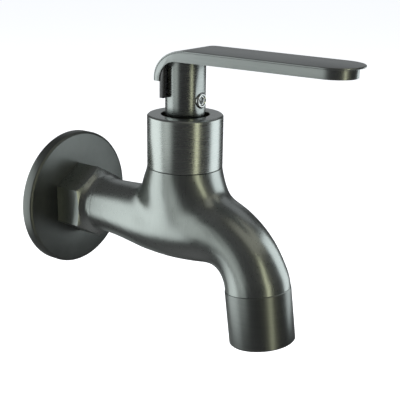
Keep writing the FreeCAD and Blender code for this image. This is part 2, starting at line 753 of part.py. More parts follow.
def spindle():
    """Spindle: driving foot with its tang, O-ring grooves, flats, clip groove and spline."""
    shaft = "(spindle_diameter / 2)"
    groove = "(spindle_diameter / 2 - ring_section - slip)"
    corners = [
        ("0", foot_bottom),
        ("foot_diameter / 2", foot_bottom),
        ("foot_diameter / 2", foot_top),
        (shaft, foot_top),
    ]
    for number in range(2):
        middle = "(chamber_floor + ring_low + ring_spacing * %d)" % number
        low = "%s - ring_section / 2 - slip" % middle
        high = "%s + ring_section / 2 + slip" % middle
        corners += [(shaft, low), (groove, low), (groove, high), (shaft, high)]
    corners += [
        (shaft, stop_top),
        ("clip_groove / 2", stop_top),
        ("clip_groove / 2", clip_top),
        (shaft, clip_top),
        (shaft, spline_bottom),
        ("spline_diameter / 2", spline_bottom),
        ("spline_diameter / 2", "%s - spline_depth" % spline_top),
        ("spline_diameter / 2 - spline_depth", spline_top),
        ("0", spline_top),
    ]
    body = turned("spindle_core", corners)
    root = "(spline_diameter / 2 - spline_depth)"
    crest = "(spline_diameter / 2 + spline_depth)"
    half = "(spline_diameter * tan(90deg / spline_teeth))"
    gap = outline(body, "spline_gap", [(root, "0"), (crest, half), (crest, "-" + half)], "XY_Plane")
    bind(gap, "AttachmentOffset.Base.z", spline_bottom)
    document.recompute()
    pocket = body.newObject("PartDesign::Pocket", "spline_cut")
    pocket.Profile = gap
    pocket.Reversed = True
    bind(pocket, "Length", "spline_length + 1")
    pattern = body.newObject("PartDesign::PolarPattern", "spline_cuts")
    pattern.Originals = [pocket]
    pattern.Axis = (gap, ["N_Axis"])
    pattern.Angle = 360
    bind(pattern, "Occurrences", "spline_teeth")
    body.Tip = pattern
    on_stem(body)
    tang = stem_box(
        "tang", "-tang_length / 2", "tang_length / 2", "tang_width / 2",
        "%s - tang_depth" % foot_bottom, foot_bottom,
    )
    outer = "(spindle_diameter / 2 + 1)"
    flats = [
        box(
            "spindle_flat_%d" % side, "2 * " + outer, outer, "%s - %s" % (stop_top, stop_bottom),
            x="bonnet_reach - " + outer, y=y, z=stop_bottom,
        )
        for side, y in enumerate(("spindle_flats / 2", "-spindle_flats / 2 - " + outer))
    ]
    solid = joined("spindle_solid", [body, tang])
    sub_part(cut("spindle", solid, joined("spindle_flats_tool", flats)), "spindle")


def spindle_o_rings():
    """Two O-rings in the spindle's grooves."""
    rings = []
    for number in range(2):
        ring = document.addObject("Part::Torus", "o_ring_%d" % number)
        bind(ring, "Radius1", "spindle_diameter / 2 - ring_section / 2")
        bind(ring, "Radius2", "ring_section / 2 - slip / 5")
        rings.append(place(ring, x="bonnet_reach", z="chamber_floor + ring_low + ring_spacing * %d" % number))
    sub_part(joined("o_rings", rings), "spindle_o_rings")


def glide_washer():
    inner = "(spindle_diameter / 2 + slip)"
    ring = ring_of("glide_washer", inner, "foot_diameter / 2", foot_top, "%s + glide_thickness" % foot_top)
    on_stem(sub_part(ring, "glide_washer"))


def stop_ring():
    """A ring held by the spindle's flats, whose lug travels in the crown's notch."""
    blank = cylinder(
        "stop_blank", "crown_diameter / 2 - disc_play", "stop_thickness", x="bonnet_reach", z=stop_bottom,
    )
    round_hole = cylinder(
        "stop_round", "spindle_diameter / 2 + slip", "stop_thickness + 2",
        x="bonnet_reach", z="%s - 1" % stop_bottom,
    )
    reach = "(spindle_diameter / 2 + 1)"
    flat_hole = stem_box(
        "stop_flats", "-" + reach, reach, "spindle_flats / 2 + slip",
        "%s - 1" % stop_bottom, "%s + 1" % stop_top,
    )
    ring = cut("stop_plate", blank, common("stop_hole", round_hole, flat_hole))
    lug_box = stem_box(
        "stop_lug_box", "-crown_diameter / 2", "-spindle_diameter / 2 - 2 * running",
        "stop_lug_width / 2", "%s - stop_lug_depth" % stop_bottom, stop_top,
    )
    lug_edge = cylinder(
        "stop_lug_edge", "crown_diameter / 2 - disc_play", "stop_lug_depth + stop_thickness",
        x="bonnet_reach", z="%s - stop_lug_depth" % stop_bottom,
    )
    lug = common("stop_lug", lug_box, lug_edge)
    sub_part(joined("stop_ring", [ring, lug]), "stop_ring")


def retaining_clip():
    """An open clip in the spindle's groove above the stop ring."""
    ring = on_stem(ring_of("clip_ring", "clip_groove / 2 + slip", "clip_diameter / 2", stop_top, clip_top))
    opening = stem_box(
        "clip_opening", "0", "clip_diameter", "clip_gap / 2",
        "%s - 1" % stop_top, "%s + 1" % clip_top,
    )
    sub_part(cut("clip", ring, opening), "retaining_clip")


# Bonnet and lever
def bonnet_sleeve():
    """Cover round the headwork. It screws on the housing's collar and meets the neck."""
    radius = "(bonnet_diameter / 2)"
    thread = "(collar_thread / 2 + slip)"
    step = "(%s + hexagon_room)" % hexagon_top
    web = "(%s - bonnet_web)" % bonnet_top
    corners = [
        (skirt_bore + " / 2", "neck_height"),
        ("%s - seam_chamfer" % radius, "neck_height"),
        (radius, "neck_height + seam_chamfer"),
        (radius, "%s - bonnet_rim" % bonnet_top),
        ("%s - bonnet_rim" % radius, bonnet_top),
        ("bonnet_bore / 2", bonnet_top),
        ("bonnet_bore / 2", web),
        (thread, web),
        (thread, step),
        (skirt_bore + " / 2", step),
    ]
    on_stem(sub_part(turned("bonnet_sleeve", corners), "bonnet_sleeve"))


def hub_blank(name, gap):
    """The hub's outside, grown by the gap: a post with two flats behind."""
    radius = "(hub_diameter / 2 + %s)" % gap
    post = cylinder(name + "_post", radius, "hub_top - " + hub_bottom, x="bonnet_reach", z=hub_bottom)
    outer = "(hub_diameter / 2 + 1)"
    lower_face = "running - %s - %s" % (flap_front, gap)
    upper_face = "-hub_flat - %s" % gap
    lower = stem_box(name + "_lower_flat", "-" + outer, lower_face, outer, "hub_ledge", "hub_step")
    upper = stem_box(name + "_upper_flat", "-" + outer, upper_face, outer, "hub_step", "hub_top + 1")
    return cut(name, post, joined(name + "_flats", [lower, upper]))


def lever_hub():
    """Post that carries the lever, with a spline bore, a grub screw hole and flats behind."""
    outer = "(hub_diameter / 2 + 1)"
    bend_centre_x = "(lever_inner_bend - %s)" % flap_front
    bend_centre_z = "(hub_top - lever_inner_bend)"
    corner = cut(
        "hub_corner",
        stem_box("hub_corner_block", "-" + outer, bend_centre_x, outer, bend_centre_z, "hub_top + 1"),
        cylinder(
            "hub_corner_bend", "lever_inner_bend", "2 * " + outer,
            x="bonnet_reach + " + bend_centre_x, y="-" + outer, z=bend_centre_z,
            axis=Vector(-1, 0, 0), angle="90",
        ),
    )
    holes = [
        cylinder(
            "hub_bore", "spline_diameter / 2 + spline_clearance", "hub_bore_depth + 1",
            x="bonnet_reach", z="%s - 1" % hub_bottom,
        ),
        cylinder(
            "hub_screw_hole", "screw_diameter / 2 + screw_play", "hub_top - %s + 2" % hub_bore_top,
            x="bonnet_reach", z="%s - 1" % hub_bore_top,
        ),
        along_x(
            "hub_grub_hole", "grub_diameter / 2 + slip", "bonnet_reach", "bonnet_reach + " + outer,
            z="grub_height",
        ),
    ]
    blank = hub_blank("hub_outside", "0")
    sub_part(cut("hub", blank, joined("hub_cuts", holes + [corner])), "lever_hub")


def grub_screw():
    """Screw that clamps the hub on the spline, standing a little out of the hub."""
    radius = "(grub_diameter / 2)"
    inner = "(spline_diameter / 2 + slip)"
    outer = "(hub_diameter / 2 + grub_stand)"
    corners = [
        (inner, "0"),
        (inner, "%s - grub_chamfer" % radius),
        ("%s + grub_chamfer" % inner, radius),
        ("%s - grub_chamfer" % outer, radius),
        (outer, "%s - grub_chamfer" % radius),
        (outer, "0"),
    ]
    blank = place(turned("grub_blank", corners, "H_Axis"), x="bonnet_reach", z="grub_height")
    socket = hexagonal_prism(
        "grub_hexagon", "grub_socket", "grub_socket_depth + 1",
        x="bonnet_reach + %s - grub_socket_depth" % outer, z="grub_height", axis=Vector(0, 1, 0), angle="90",
    )
    sub_part(cut("grub", blank, socket), "grub_screw")


def lever_screw():
    """Screw inside the hub that holds the lever plate."""
    head_bottom = "(%s - screw_head_height)" % hub_bore_top
    shank = "(screw_diameter / 2)"
    corners = [
        ("0", head_bottom),
        ("screw_head / 2", head_bottom),
        ("screw_head / 2", hub_bore_top),
        (shank, hub_bore_top),
        (shank, "hub_top + screw_hold"),
        ("0", "hub_top + screw_hold"),
    ]
    blank = on_stem(turned("lever_screw_blank", corners))
    socket = hexagonal_prism(
        "lever_screw_hexagon", "screw_slot", "screw_slot_depth + 1",
        x="bonnet_reach", z="%s - 1" % head_bottom,
    )
    sub_part(cut("lever_screw", blank, socket), "lever_screw")


def slab(name, corners, low, height):
    """A flat piece with straight sides, seen from above, between two heights."""
    body = document.addObject("PartDesign::Body", name)
    sketch = outline(body, name + "_outline", corners, "XY_Plane")
    bind(sketch, "AttachmentOffset.Base.z", low)
    document.recompute()
    pad = body.newObject("PartDesign::Pad", name + "_pad")
    pad.Profile = sketch
    bind(pad, "Length", height)
    body.Tip = pad
    return on_stem(body)


def oval_bar(name, along, across, length, direction, **where):
    """A bar of elliptical section. Its long radius lies along X."""
    ellipse = document.addObject("Part::Ellipse", name + "_section")
    bind(ellipse, "MajorRadius", along)
    bind(ellipse, "MinorRadius", across)
    place(ellipse, **where)
    bar = document.addObject("Part::Extrusion", name)
    bar.Base = ellipse
    bar.DirMode = "Custom"
    bar.Dir = direction
    bar.Solid = True
    bind(bar, "LengthFwd", length)
    return bar


def bend_outside(name, inset, front):
    """The lever seen from the side: level on top, bent down behind in a quarter of an ellipse."""
    half = "lever_width"
    quarter = oval_bar(
        name + "_quarter", "lever_bend - " + inset, "lever_drop - " + inset, "2 * " + half,
        Vector(0, 1, 0), x="bonnet_reach + " + bend_x, y="-" + half, z=bend_z,
        axis=Vector(1, 0, 0), angle="90",
    )
    above = stem_box(name + "_above", bend_x, front, half, "flap_foot", "%s - %s" % (lever_top, inset))
    behind = stem_box(name + "_behind", "%s - lever_back" % inset, front, half, "flap_foot", bend_z)
    whole = joined(name, [quarter, above, behind])
    below = stem_box(
        name + "_below", "-2 * lever_back", "2 * lever_reach", "2 * " + half,
        "hub_ledge - lever_drop", "flap_foot",
    )
    return cut(name + "_bent", whole, below)


def bend_inside(name, foot, half, wall, bend):
    """The room under the lever and in front of a wall, with a rounded corner between them."""
    centre_x = "(%s - %s)" % (bend, wall)
    centre_z = "(hub_top - %s)" % bend
    quarter = cylinder(
        name + "_quarter", bend, "2 * " + half,
        x="bonnet_reach + " + centre_x, y="-" + half, z=centre_z, axis=Vector(-1, 0, 0), angle="90",
    )
    above = stem_box(name + "_above", centre_x, "lever_reach + 1", half, foot, "hub_top")
    behind = stem_box(name + "_behind", "-" + wall, "lever_reach + 1", half, foot, centre_z)
    return joined(name, [quarter, above, behind])


def skin_shadow():
    """The skin seen from above: straight sides and a rounded tip."""
    low = "flap_foot - 1"
    height = "%s - flap_foot + 2" % lever_top
    half = "(lever_width / 2)"
    start = "(lever_reach - lever_tip)"
    tip = oval_bar(
        "skin_tip", "lever_tip", half, height, Vector(0, 0, 1), x="bonnet_reach + " + start, z=low,
    )
    straight = stem_box("skin_straight", "-lever_back - 1", start, half, low, "%s + 1" % lever_top)
    return joined("skin_shadow", [straight, tip])


def core_shadow():
    """The core seen from above: it draws in towards its own, shorter tip."""
    low = "flap_foot - 1"
    height = "%s - flap_foot + 2" % lever_top
    wide = "(lever_width / 2)"
    narrow = "(lever_width / 2 - core_taper)"
    start = "(lever_reach - core_short - core_tip)"
    corners = [
        ("-lever_back - 1", "-" + wide),
        ("core_taper_start", "-" + wide),
        (start, "-" + narrow),
        (start, narrow),
        ("core_taper_start", wide),
        ("-lever_back - 1", wide),
    ]
    tip = oval_bar(
        "core_tip", "core_tip", narrow, height, Vector(0, 0, 1), x="bonnet_reach + " + start, z=low,
    )
    return joined("core_shadow", [slab("core_taper", corners, low, height), tip])


def lever_plate():
    """A bent plate: a thin skin over a core that draws in towards the tip."""
    skin = cut(
        "skin_bent",
        bend_outside("skin_outside", "0", "lever_reach"),
        bend_outside("skin_inside", "lever_skin", "lever_reach + 1"),
    )
    core = cut(
        "core_bent",
        bend_outside("core_outside", "lever_skin", "lever_reach"),
        bend_inside("core_inside", "flap_foot - 1", "lever_width", flap_front, "lever_inner_bend"),
    )
    solid = joined("lever_solid", [
        common("lever_skin_piece", skin, skin_shadow()),
        common("lever_core_piece", core, core_shadow()),
    ])
    hole = cylinder(
        "lever_screw_hole", "screw_diameter / 2 + screw_play",
        "hub_top + screw_hold + screw_play - " + hub_bore_top, x="bonnet_reach", z=hub_bore_top,
    )
    sub_part(cut("lever", solid, hole), "lever_plate")


def lever_liner():
    """Dark filler between the flap and the hub, on the hub's ledge, with a bead down each side."""
    half = "(lever_width / 2 - liner_inset)"
    room = bend_inside("liner_room", "hub_ledge", half, flap_front, "lever_inner_bend")
    front = bend_inside("liner_front_room", "hub_ledge - 1", "lever_width", "liner_front", "liner_round")
    strip = cut("liner_strip", room, front)
    beads = stem_box(
        "liner_beads", "-bead_place - bead_width / 2", "bead_width / 2 - bead_place",
        "lever_width / 2 - liner_inset + bead_height", "hub_ledge", "hub_top - lever_inner_bend",
    )
    blank = joined("liner_blank", [strip, beads])
    sub_part(cut("liner", blank, hub_blank("liner_hub_room", "slip")), "lever_liner")


# Outlet, in a frame whose origin is the centre of the seam and whose -Z runs with the water
def outlet_ring(name, inner, outer, low, high):
    return at_outlet(sub_part(ring_of(name, inner, outer, low, high), name))


def aerator_sleeve():
    """Screwed sleeve that finishes the spout and holds the aerator on its lip."""
    radius = "(sleeve_diameter / 2)"
    thread = "(spigot_diameter / 2 + slip)"
    thread_end = "(-spigot_length - sleeve_run_out)"
    corners = [
        (thread, "0"),
        ("%s - seam_chamfer" % radius, "0"),
        (radius, "-seam_chamfer"),
        (radius, "sleeve_rim - sleeve_length"),
        ("%s - sleeve_rim" % radius, "-sleeve_length"),
        ("sleeve_lip_bore / 2", "-sleeve_length"),
        ("sleeve_lip_bore / 2", lip_top),
        ("sleeve_bore / 2", lip_top),
        ("sleeve_bore / 2", thread_end),
        (thread, thread_end),
    ]
    at_outlet(sub_part(turned("aerator_sleeve", corners), "aerator_sleeve"))


def upright(name, radius, low, high):
    """A plain cylinder on the local axis, not yet at the outlet."""
    return cylinder(name, radius, "%s - (%s)" % (high, low), z=low)


def aerator_diffuser():
    """Plate with three rings of holes that splits the stream into jets."""
    blank = upright("diffuser_blank", insert_radius, cage_top, diffuser_top)
    radius = "diffuser_hole / 2"
    low = "%s - 1" % cage_top
    high = "%s + 1" % diffuser_top
    holes = [upright("diffuser_hole_0", radius, low, high)]
    rings = 3
    for ring in range(1, rings + 1):
        for step in range(6 * ring):
            angle = math.tau * step / (6 * ring)
            hole = upright("diffuser_hole_%d_%d" % (ring, step), radius, low, high)
            bind(hole, "Placement.Base.x", "diffuser_pitch * %.5f" % (ring * math.cos(angle)))
            bind(hole, "Placement.Base.y", "diffuser_pitch * %.5f" % (ring * math.sin(angle)))
            holes.append(hole)
    at_outlet(sub_part(cut("diffuser", blank, joined("diffuser_holes", holes)), "aerator_diffuser"))


def grille(name, pitch, bar, count, reach, low, high):
    """Crossed bars over the local axis, count of them to each side of the middle one."""
    bars = []
    for number in range(-count, count + 1):
        offset = "%s * %d" % (pitch, number)
        bars.append(box(
            "%s_x%d" % (name, number + count), "2 * " + reach, bar, "%s - (%s)" % (high, low),
            x="-" + reach, y="%s - %s / 2" % (offset, bar), z=low,
        ))
        bars.append(box(
            "%s_y%d" % (name, number + count), bar, "2 * " + reach, "%s - (%s)" % (high, low),
            x="%s - %s / 2" % (offset, bar), y="-" + reach, z=low,
        ))
    return joined(name, bars)


def aerator_cage():
    """Cup that rests on the lip, with a square grid across the mouth."""
    nose = "(sleeve_lip_bore / 2 - cage_play)"
    grid_low = "(%s - cage_nose)" % lip_top
    grid_high = "(%s + cage_grid)" % grid_low
    wall = cut(
        "cage_wall_ring",
        upright("cage_outside", insert_radius, lip_top, cage_top),
        upright("cage_inside", "%s - cage_wall" % insert_radius, grid_high, "%s + 1" % cage_top),
    )
    throat = "%s - cage_wall" % nose
    past_grid = "%s + 1" % grid_high
    core = cut("cage_cup", wall, upright("cage_throat", throat, "%s - 1" % lip_top, past_grid))
    nose_ring = cut(
        "cage_nose_ring",
        upright("cage_nose_outside", nose, grid_low, grid_high),
        upright("cage_nose_inside", throat, "%s - 1" % grid_low, past_grid),
    )
    bars = grille("cage_bars", "cage_pitch", "cage_bar", 3, nose, grid_low, grid_high)
    edge = upright("cage_grid_edge", "%s - cage_wall / 2" % nose, grid_low, grid_high)
    grid = common("cage_grid", bars, edge)
    at_outlet(sub_part(joined("cage", [core, nose_ring, grid]), "aerator_cage"))


def aerator_screens():
    """Two wire screens in rims that stack on the grid of the cage."""
    grid_high = "(%s - cage_nose + cage_grid)" % lip_top
    screens = []
    for number in range(2):
        low = "(%s + (screen_thickness + screen_gap) * %d)" % (grid_high, number)
        mesh_high = "(%s + screen_thickness)" % low
        rim_high = "(%s + screen_gap)" % mesh_high
        rim_inside = "%s - cage_wall" % screen_radius
        name = "screen_wires_%d" % number
        wires = grille(name, "screen_pitch", "screen_bar", 4, screen_radius, low, mesh_high)
        disc = upright("screen_disc_%d" % number, screen_radius, low, mesh_high)
        mesh = common("screen_mesh_%d" % number, wires, disc)
        rim = cut(
            "screen_rim_%d" % number,
            upright("screen_rim_outside_%d" % number, screen_radius, low, rim_high),
            upright("screen_rim_inside_%d" % number, rim_inside, "%s - 1" % low, "%s + 1" % rim_high),
        )
        screens.append(joined("screen_%d" % number, [mesh, rim]))
    stack = document.addObject("Part::Compound", "screens")
    stack.Links = screens
    at_outlet(sub_part(stack, "aerator_screens"))


document.recompute()
wall_flange()
flange_foam()
body_casting()
seat_seal()
fixed_disc()
moving_disc()
headwork_housing()
fibre_washer()
spindle()
spindle_o_rings()
glide_washer()
stop_ring()
retaining_clip()
bonnet_sleeve()
lever_hub()
grub_screw()
lever_screw()
lever_plate()
lever_liner()
aerator_sleeve()
outlet_ring("aerator_washer", "washer_bore / 2", insert_radius, diffuser_top, washer_top)
aerator_diffuser()
aerator_cage()
aerator_screens()
document.recompute()

for thing in document.Objects:
    if "Invalid" in thing.State or "Error" in thing.State:
        raise RuntimeError("%s did not build" % thing.Name)
for thing in sub_parts:
    if thing.Shape.isNull() or not thing.Shape.isValid():
        raise RuntimeError("%s has no valid shape" % thing.Label)

os.makedirs("parts", exist_ok=True)
for thing in sub_parts:
    thing.Shape.exportStep("parts/%s.step" % thing.Label)
    print(thing.Label, len(thing.Shape.Solids), round(thing.Shape.Volume, 2))
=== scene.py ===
import math

import bpy
from mathutils import Matrix, Vector


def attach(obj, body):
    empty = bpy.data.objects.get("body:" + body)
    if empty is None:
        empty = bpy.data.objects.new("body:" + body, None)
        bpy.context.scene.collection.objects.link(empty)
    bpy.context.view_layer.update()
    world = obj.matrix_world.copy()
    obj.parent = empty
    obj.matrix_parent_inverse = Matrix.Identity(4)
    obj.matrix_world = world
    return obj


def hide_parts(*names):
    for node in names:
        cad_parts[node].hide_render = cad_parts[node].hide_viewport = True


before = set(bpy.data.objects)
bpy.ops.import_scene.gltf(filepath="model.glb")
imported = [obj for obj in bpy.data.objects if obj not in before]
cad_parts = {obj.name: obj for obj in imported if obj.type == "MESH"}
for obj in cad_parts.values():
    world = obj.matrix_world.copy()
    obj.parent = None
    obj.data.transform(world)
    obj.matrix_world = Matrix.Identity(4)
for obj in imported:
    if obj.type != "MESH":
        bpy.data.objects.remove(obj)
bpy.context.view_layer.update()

MM = 0.001

# Places and sizes that pieces share, in millimetres, with the wall at x 0 and the inlet's axis at z 0
STEM = 65.6  # wall to the stem's axis
FLANGE_FRONT = 5.1  # front face of the wall flange, which the collar stands on
INLET_BORE = 6.5  # radius of the bore through the tail and the tube
TUBE = 11.85  # radius of the tube in front of the collar
TUBE_START = 22.6  # where the collar's hollow has run out into the tube
BODY_TOP = 25.1  # seam between the casting and the bonnet
BONNET_TOP = 46.7
BONNET_RADIUS = 15.4
BEND_START = 79.56  # where the spout starts to bend down
BEND_HEIGHT = 1.6  # height of the spout's axis there
BEND_RADIUS = 23.67  # of the spout's axis
BEND_MIDDLE = Vector((BEND_START, 0, BEND_HEIGHT - BEND_RADIUS))
TILT = math.radians(7.8)  # angle between the outlet and the upright
SEAM = BEND_MIDDLE + BEND_RADIUS * Vector((math.cos(TILT), 0, math.sin(TILT)))  # where the casting ends
WATER = Vector((math.sin(TILT), 0, -math.cos(TILT)))  # the way the water leaves
ALONG_X = Vector((1, 0, 0))
ALONG_Z = Vector((0, 0, 1))
POST_RADIUS = 8.1
POST_LEDGE = 54.0  # foot of the flats behind the post
POST_STEP = 61.9  # height at which the deeper flat starts
LOWER_FLAT = 4.9  # stem's axis to the lower flat
UPPER_FLAT = 2.8  # stem's axis to the deeper flat
GRUB_HEIGHT = 53.0
SCREW_HOLE = 2.15  # radius of the hole for the screw that holds the lever
LEVER_TOP = 73.46
LEVER_UNDER = 68.9
LEVER_HALF = 10.62  # half the lever's width
LEVER_BACK = 7.75  # stem's axis to the back of the lever
LEVER_REACH = 77.45  # stem's axis to the lever's tip
LEVER_SKIN = 0.75  # thickness of the skin over the core
BEND_LONG = 15.3  # the lever's bend behind the post, along the lever
BEND_HIGH = 11.46  # the same bend, down the flap
FLAP_FRONT = 4.95  # stem's axis to the front of the flap
FLAP_FOOT = 60.6
INNER_BEND = 7.8  # radius of the bend's inner side


# Steps of modelling

def let_go():
    """Back to object mode with nothing selected."""
    if bpy.context.object and bpy.context.object.mode != "OBJECT":
        bpy.ops.object.mode_set(mode="OBJECT")
    bpy.ops.object.select_all(action="DESELECT")


def take(piece):
    """Makes the piece the one that is selected and active."""
    let_go()
    piece.select_set(True)
    bpy.context.view_layer.objects.active = piece
    return piece


def edit(piece, kind="VERT"):
    """Opens the piece for editing by corners, edges or faces."""
    take(piece)
    bpy.context.tool_settings.mesh_select_mode = [kind == "VERT", kind == "EDGE", kind == "FACE"]
    bpy.ops.object.mode_set(mode="EDIT")


def edit_all(piece):
    """Opens the piece with all of it selected."""
    edit(piece)
    bpy.ops.mesh.select_all(action="SELECT")


def pick_corners(piece, test):
    """Opens the piece with just the corners selected whose place passes the test."""
    take(piece)
    mesh = piece.data
    for group in (mesh.polygons, mesh.edges):
        for thing in group:
            thing.select = False
    for corner in mesh.vertices:
        corner.select = bool(test(corner.co / MM))
    edit(piece)


def pick_faces(piece, test):
    """Opens the piece with just the faces selected whose middle passes the test."""
    take(piece)
    mesh = piece.data
    for group in (mesh.vertices, mesh.edges):
        for thing in group:
            thing.select = False
    for face in mesh.polygons:
        face.select = bool(test(face.center / MM))
    edit(piece, "FACE")


def settle(piece):
    """Puts the piece's place into its mesh."""
    take(piece)
    bpy.ops.object.transform_apply(location=True, rotation=True, scale=True)
    return piece


def named(name):
    """Names and settles the primitive that was just added."""
    piece = bpy.context.object
    piece.name = name
    piece.data.name = name
    return settle(piece)


def add_modifier(piece, kind, **values):
    """Adds a modifier with these values and applies it."""
    take(piece)
    modifier = piece.modifiers.new(kind.lower(), kind)
    for key, value in values.items():
        setattr(modifier, key, value)
    bpy.ops.object.modifier_apply(modifier=modifier.name)
    return piece


def tidy(piece, distance=0.0005):
    """Merges doubles closer than the distance and points the faces outwards."""
    edit_all(piece)
    bpy.ops.mesh.remove_doubles(threshold=distance * MM)
    bpy.ops.mesh.dissolve_degenerate(threshold=distance * MM)
    bpy.ops.mesh.select_all(action="SELECT")
    bpy.ops.mesh.normals_make_consistent(inside=False)
    let_go()
    return piece


def cut_with(piece, tool, how="DIFFERENCE"):
    """Cuts the piece with the tool, or joins or keeps what they share, and clears the tool away."""
    add_modifier(piece, "BOOLEAN", operation=how, object=tool, solver="EXACT")
    bpy.data.objects.remove(tool, do_unlink=True)
    return piece


def soften(piece, width, steps=2, angle=30):
    """Breaks the edges that are sharper than the angle."""
    return add_modifier(
        piece, "BEVEL", width=width * MM, segments=steps, limit_method="ANGLE",
        angle_limit=math.radians(angle), harden_normals=False, miter_outer="MITER_ARC",
    )


def shade(piece, angle=30):
    """Shades smooth, but for edges that are sharper than the angle."""
    take(piece)
    bpy.ops.object.shade_smooth_by_angle(angle=math.radians(angle))
    return piece


def block(name, low, high):
    """A box from its lowest to its highest corner."""
    low, high = Vector(low), Vector(high)
    let_go()
    bpy.ops.mesh.primitive_cube_add(size=1, location=(low + high) / 2 * MM)
    bpy.context.object.scale = (high - low) * MM
    return named(name)


def round_bar(name, start, direction, length, radius, sides=128):
    """A round bar that starts at a place and runs in a direction."""
    let_go()
    direction = Vector(direction).normalized()
    start = Vector(start)
    bpy.ops.mesh.primitive_cylinder_add(
        vertices=sides, radius=radius * MM, depth=length * MM,
        location=(start + direction * length / 2) * MM,
        rotation=direction.to_track_quat("Z", "Y").to_euler(),
    )
    return named(name)


def drawn_line(name, points):
    """A line drawn corner by corner, left open in edit mode."""
    let_go()
    points = [Vector(point) * MM for point in points]
    bpy.ops.mesh.primitive_plane_add(size=MM, location=(0, 0, 0))
    piece = named(name)
    edit_all(piece)
    bpy.ops.mesh.merge(type="CENTER")
    bpy.ops.transform.translate(value=points[0])
    for before, after in zip(points, points[1:]):
        bpy.ops.mesh.extrude_region_move(TRANSFORM_OT_translate={"value": after - before})
    return piece


def filled_outline(name, points):
    """A closed outline with its face, left open in edit mode."""
    piece = drawn_line(name, points)
    bpy.ops.mesh.select_all(action="SELECT")
    bpy.ops.mesh.edge_face_add()
    return piece


def slab(name, points, sweep):
    """The outline filled and drawn out into a plate."""
    piece = filled_outline(name, points)
    bpy.ops.mesh.extrude_region_move(TRANSFORM_OT_translate={"value": Vector(sweep) * MM})
    return tidy(piece)


def turned(name, corners, centre, direction, steps=160):
    """Corners as pairs of distance along the axis and distance from it, spun round the axis."""
    centre, direction = Vector(centre), Vector(direction).normalized()
    out = direction.orthogonal().normalized()
    outline = [centre + direction * along + out * away for along, away in corners]
    piece = filled_outline(name, outline)
    bpy.ops.mesh.select_all(action="SELECT")
    bpy.ops.mesh.delete(type="ONLY_FACE")
    bpy.ops.mesh.select_all(action="SELECT")
    bpy.ops.mesh.spin(steps=steps, angle=2 * math.pi, center=centre * MM, axis=direction)
    let_go()
    return tidy(piece)


def hexagon_bar(name, start, length, across):
    """A hexagonal bar along X, with two of its corners up and down."""
    let_go()
    bpy.ops.mesh.primitive_cylinder_add(
        vertices=6, radius=across / math.sqrt(3) * MM, depth=length * MM,
        location=(Vector(start) + ALONG_X * length / 2) * MM, rotation=(math.pi / 2, 0, math.pi / 2),
    )
    return named(name)


# Finishes

def node(tree, kind, **values):
    """A new node with its sockets or settings set by name."""
    made = tree.nodes.new(kind)
    for key, value in values.items():
        if key in made.inputs:
            made.inputs[key].default_value = value
        else:
            setattr(made, key, value)
    return made


def grain(tree, stretch, detail):
    """Noise on the object's own coordinates, drawn out along the brushing."""
    place = node(tree, "ShaderNodeTexCoord")
    mapping = node(tree, "ShaderNodeMapping", Scale=stretch)
    noise = node(tree, "ShaderNodeTexNoise", Scale=1.0, Detail=detail, Roughness=0.6)
    tree.links.new(place.outputs["Object"], mapping.inputs["Vector"])
    tree.links.new(mapping.outputs["Vector"], noise.inputs["Vector"])
    return noise.outputs["Fac"]


def spread(tree, source, low, high, first, last):
    """Carries the span from low to high over to the span from first to last."""
    span = node(tree, "ShaderNodeMapRange")
    span.inputs["From Min"].default_value = low
    span.inputs["From Max"].default_value = high
    span.inputs["To Min"].default_value = first
    span.inputs["To Max"].default_value = last
    tree.links.new(source, span.inputs["Value"])
    return span.outputs["Result"]


def blended(tree, source, stops):
    """Colours at stops along the source, from first to last."""
    made = node(tree, "ShaderNodeValToRGB")
    colours = made.color_ramp.elements
    for element, (place, colour) in zip((colours[0], colours[1]), (stops[0], stops[-1])):
        element.position = place
        element.color = (*colour, 1)
    for place, colour in stops[1:-1]:
        colours.new(place).color = (*colour, 1)
    tree.links.new(source, made.inputs["Fac"])
    return made.outputs["Color"]


NOISE_LOW = 0.3
NOISE_HIGH = 0.7


def finish_of(name, dark, light, metallic, roughness, stretch, relief=0.0, detail=3.0, specular=0.5):
    """One finish: two tones, a range of roughness and a fine relief that follow one grain."""
    material = bpy.data.materials.new(name)
    material.use_nodes = True
    tree = material.node_tree
    shader = tree.nodes["Principled BSDF"]
    shader.inputs["Metallic"].default_value = metallic
    shader.inputs["Specular IOR Level"].default_value = specular
    noise = grain(tree, stretch, detail)
    tone = blended(tree, noise, [(NOISE_LOW, dark), (NOISE_HIGH, light)])
    tree.links.new(tone, shader.inputs["Base Color"])
    tree.links.new(spread(tree, noise, NOISE_LOW, NOISE_HIGH, *roughness), shader.inputs["Roughness"])
    if relief:
        bump = node(tree, "ShaderNodeBump", Strength=1.0, Distance=relief * MM)
        tree.links.new(noise, bump.inputs["Height"])
        tree.links.new(bump.outputs["Normal"], shader.inputs["Normal"])
    return material


def gunmetal(name, dark, light, roughness, stretch):
    """Dark plated metal with a fine brushing."""
    return finish_of(name, dark, light, 1.0, roughness, stretch, relief=0.00012, detail=2.0)


ROUND_THE_STEM = (45, 45, 1700)
ALONG_THE_LEVER = (45, 1700, 1700)
DOWN_THE_CASTING = (1500, 1500, 60)
ROUND_THE_FACE = (1500, 150, 150)

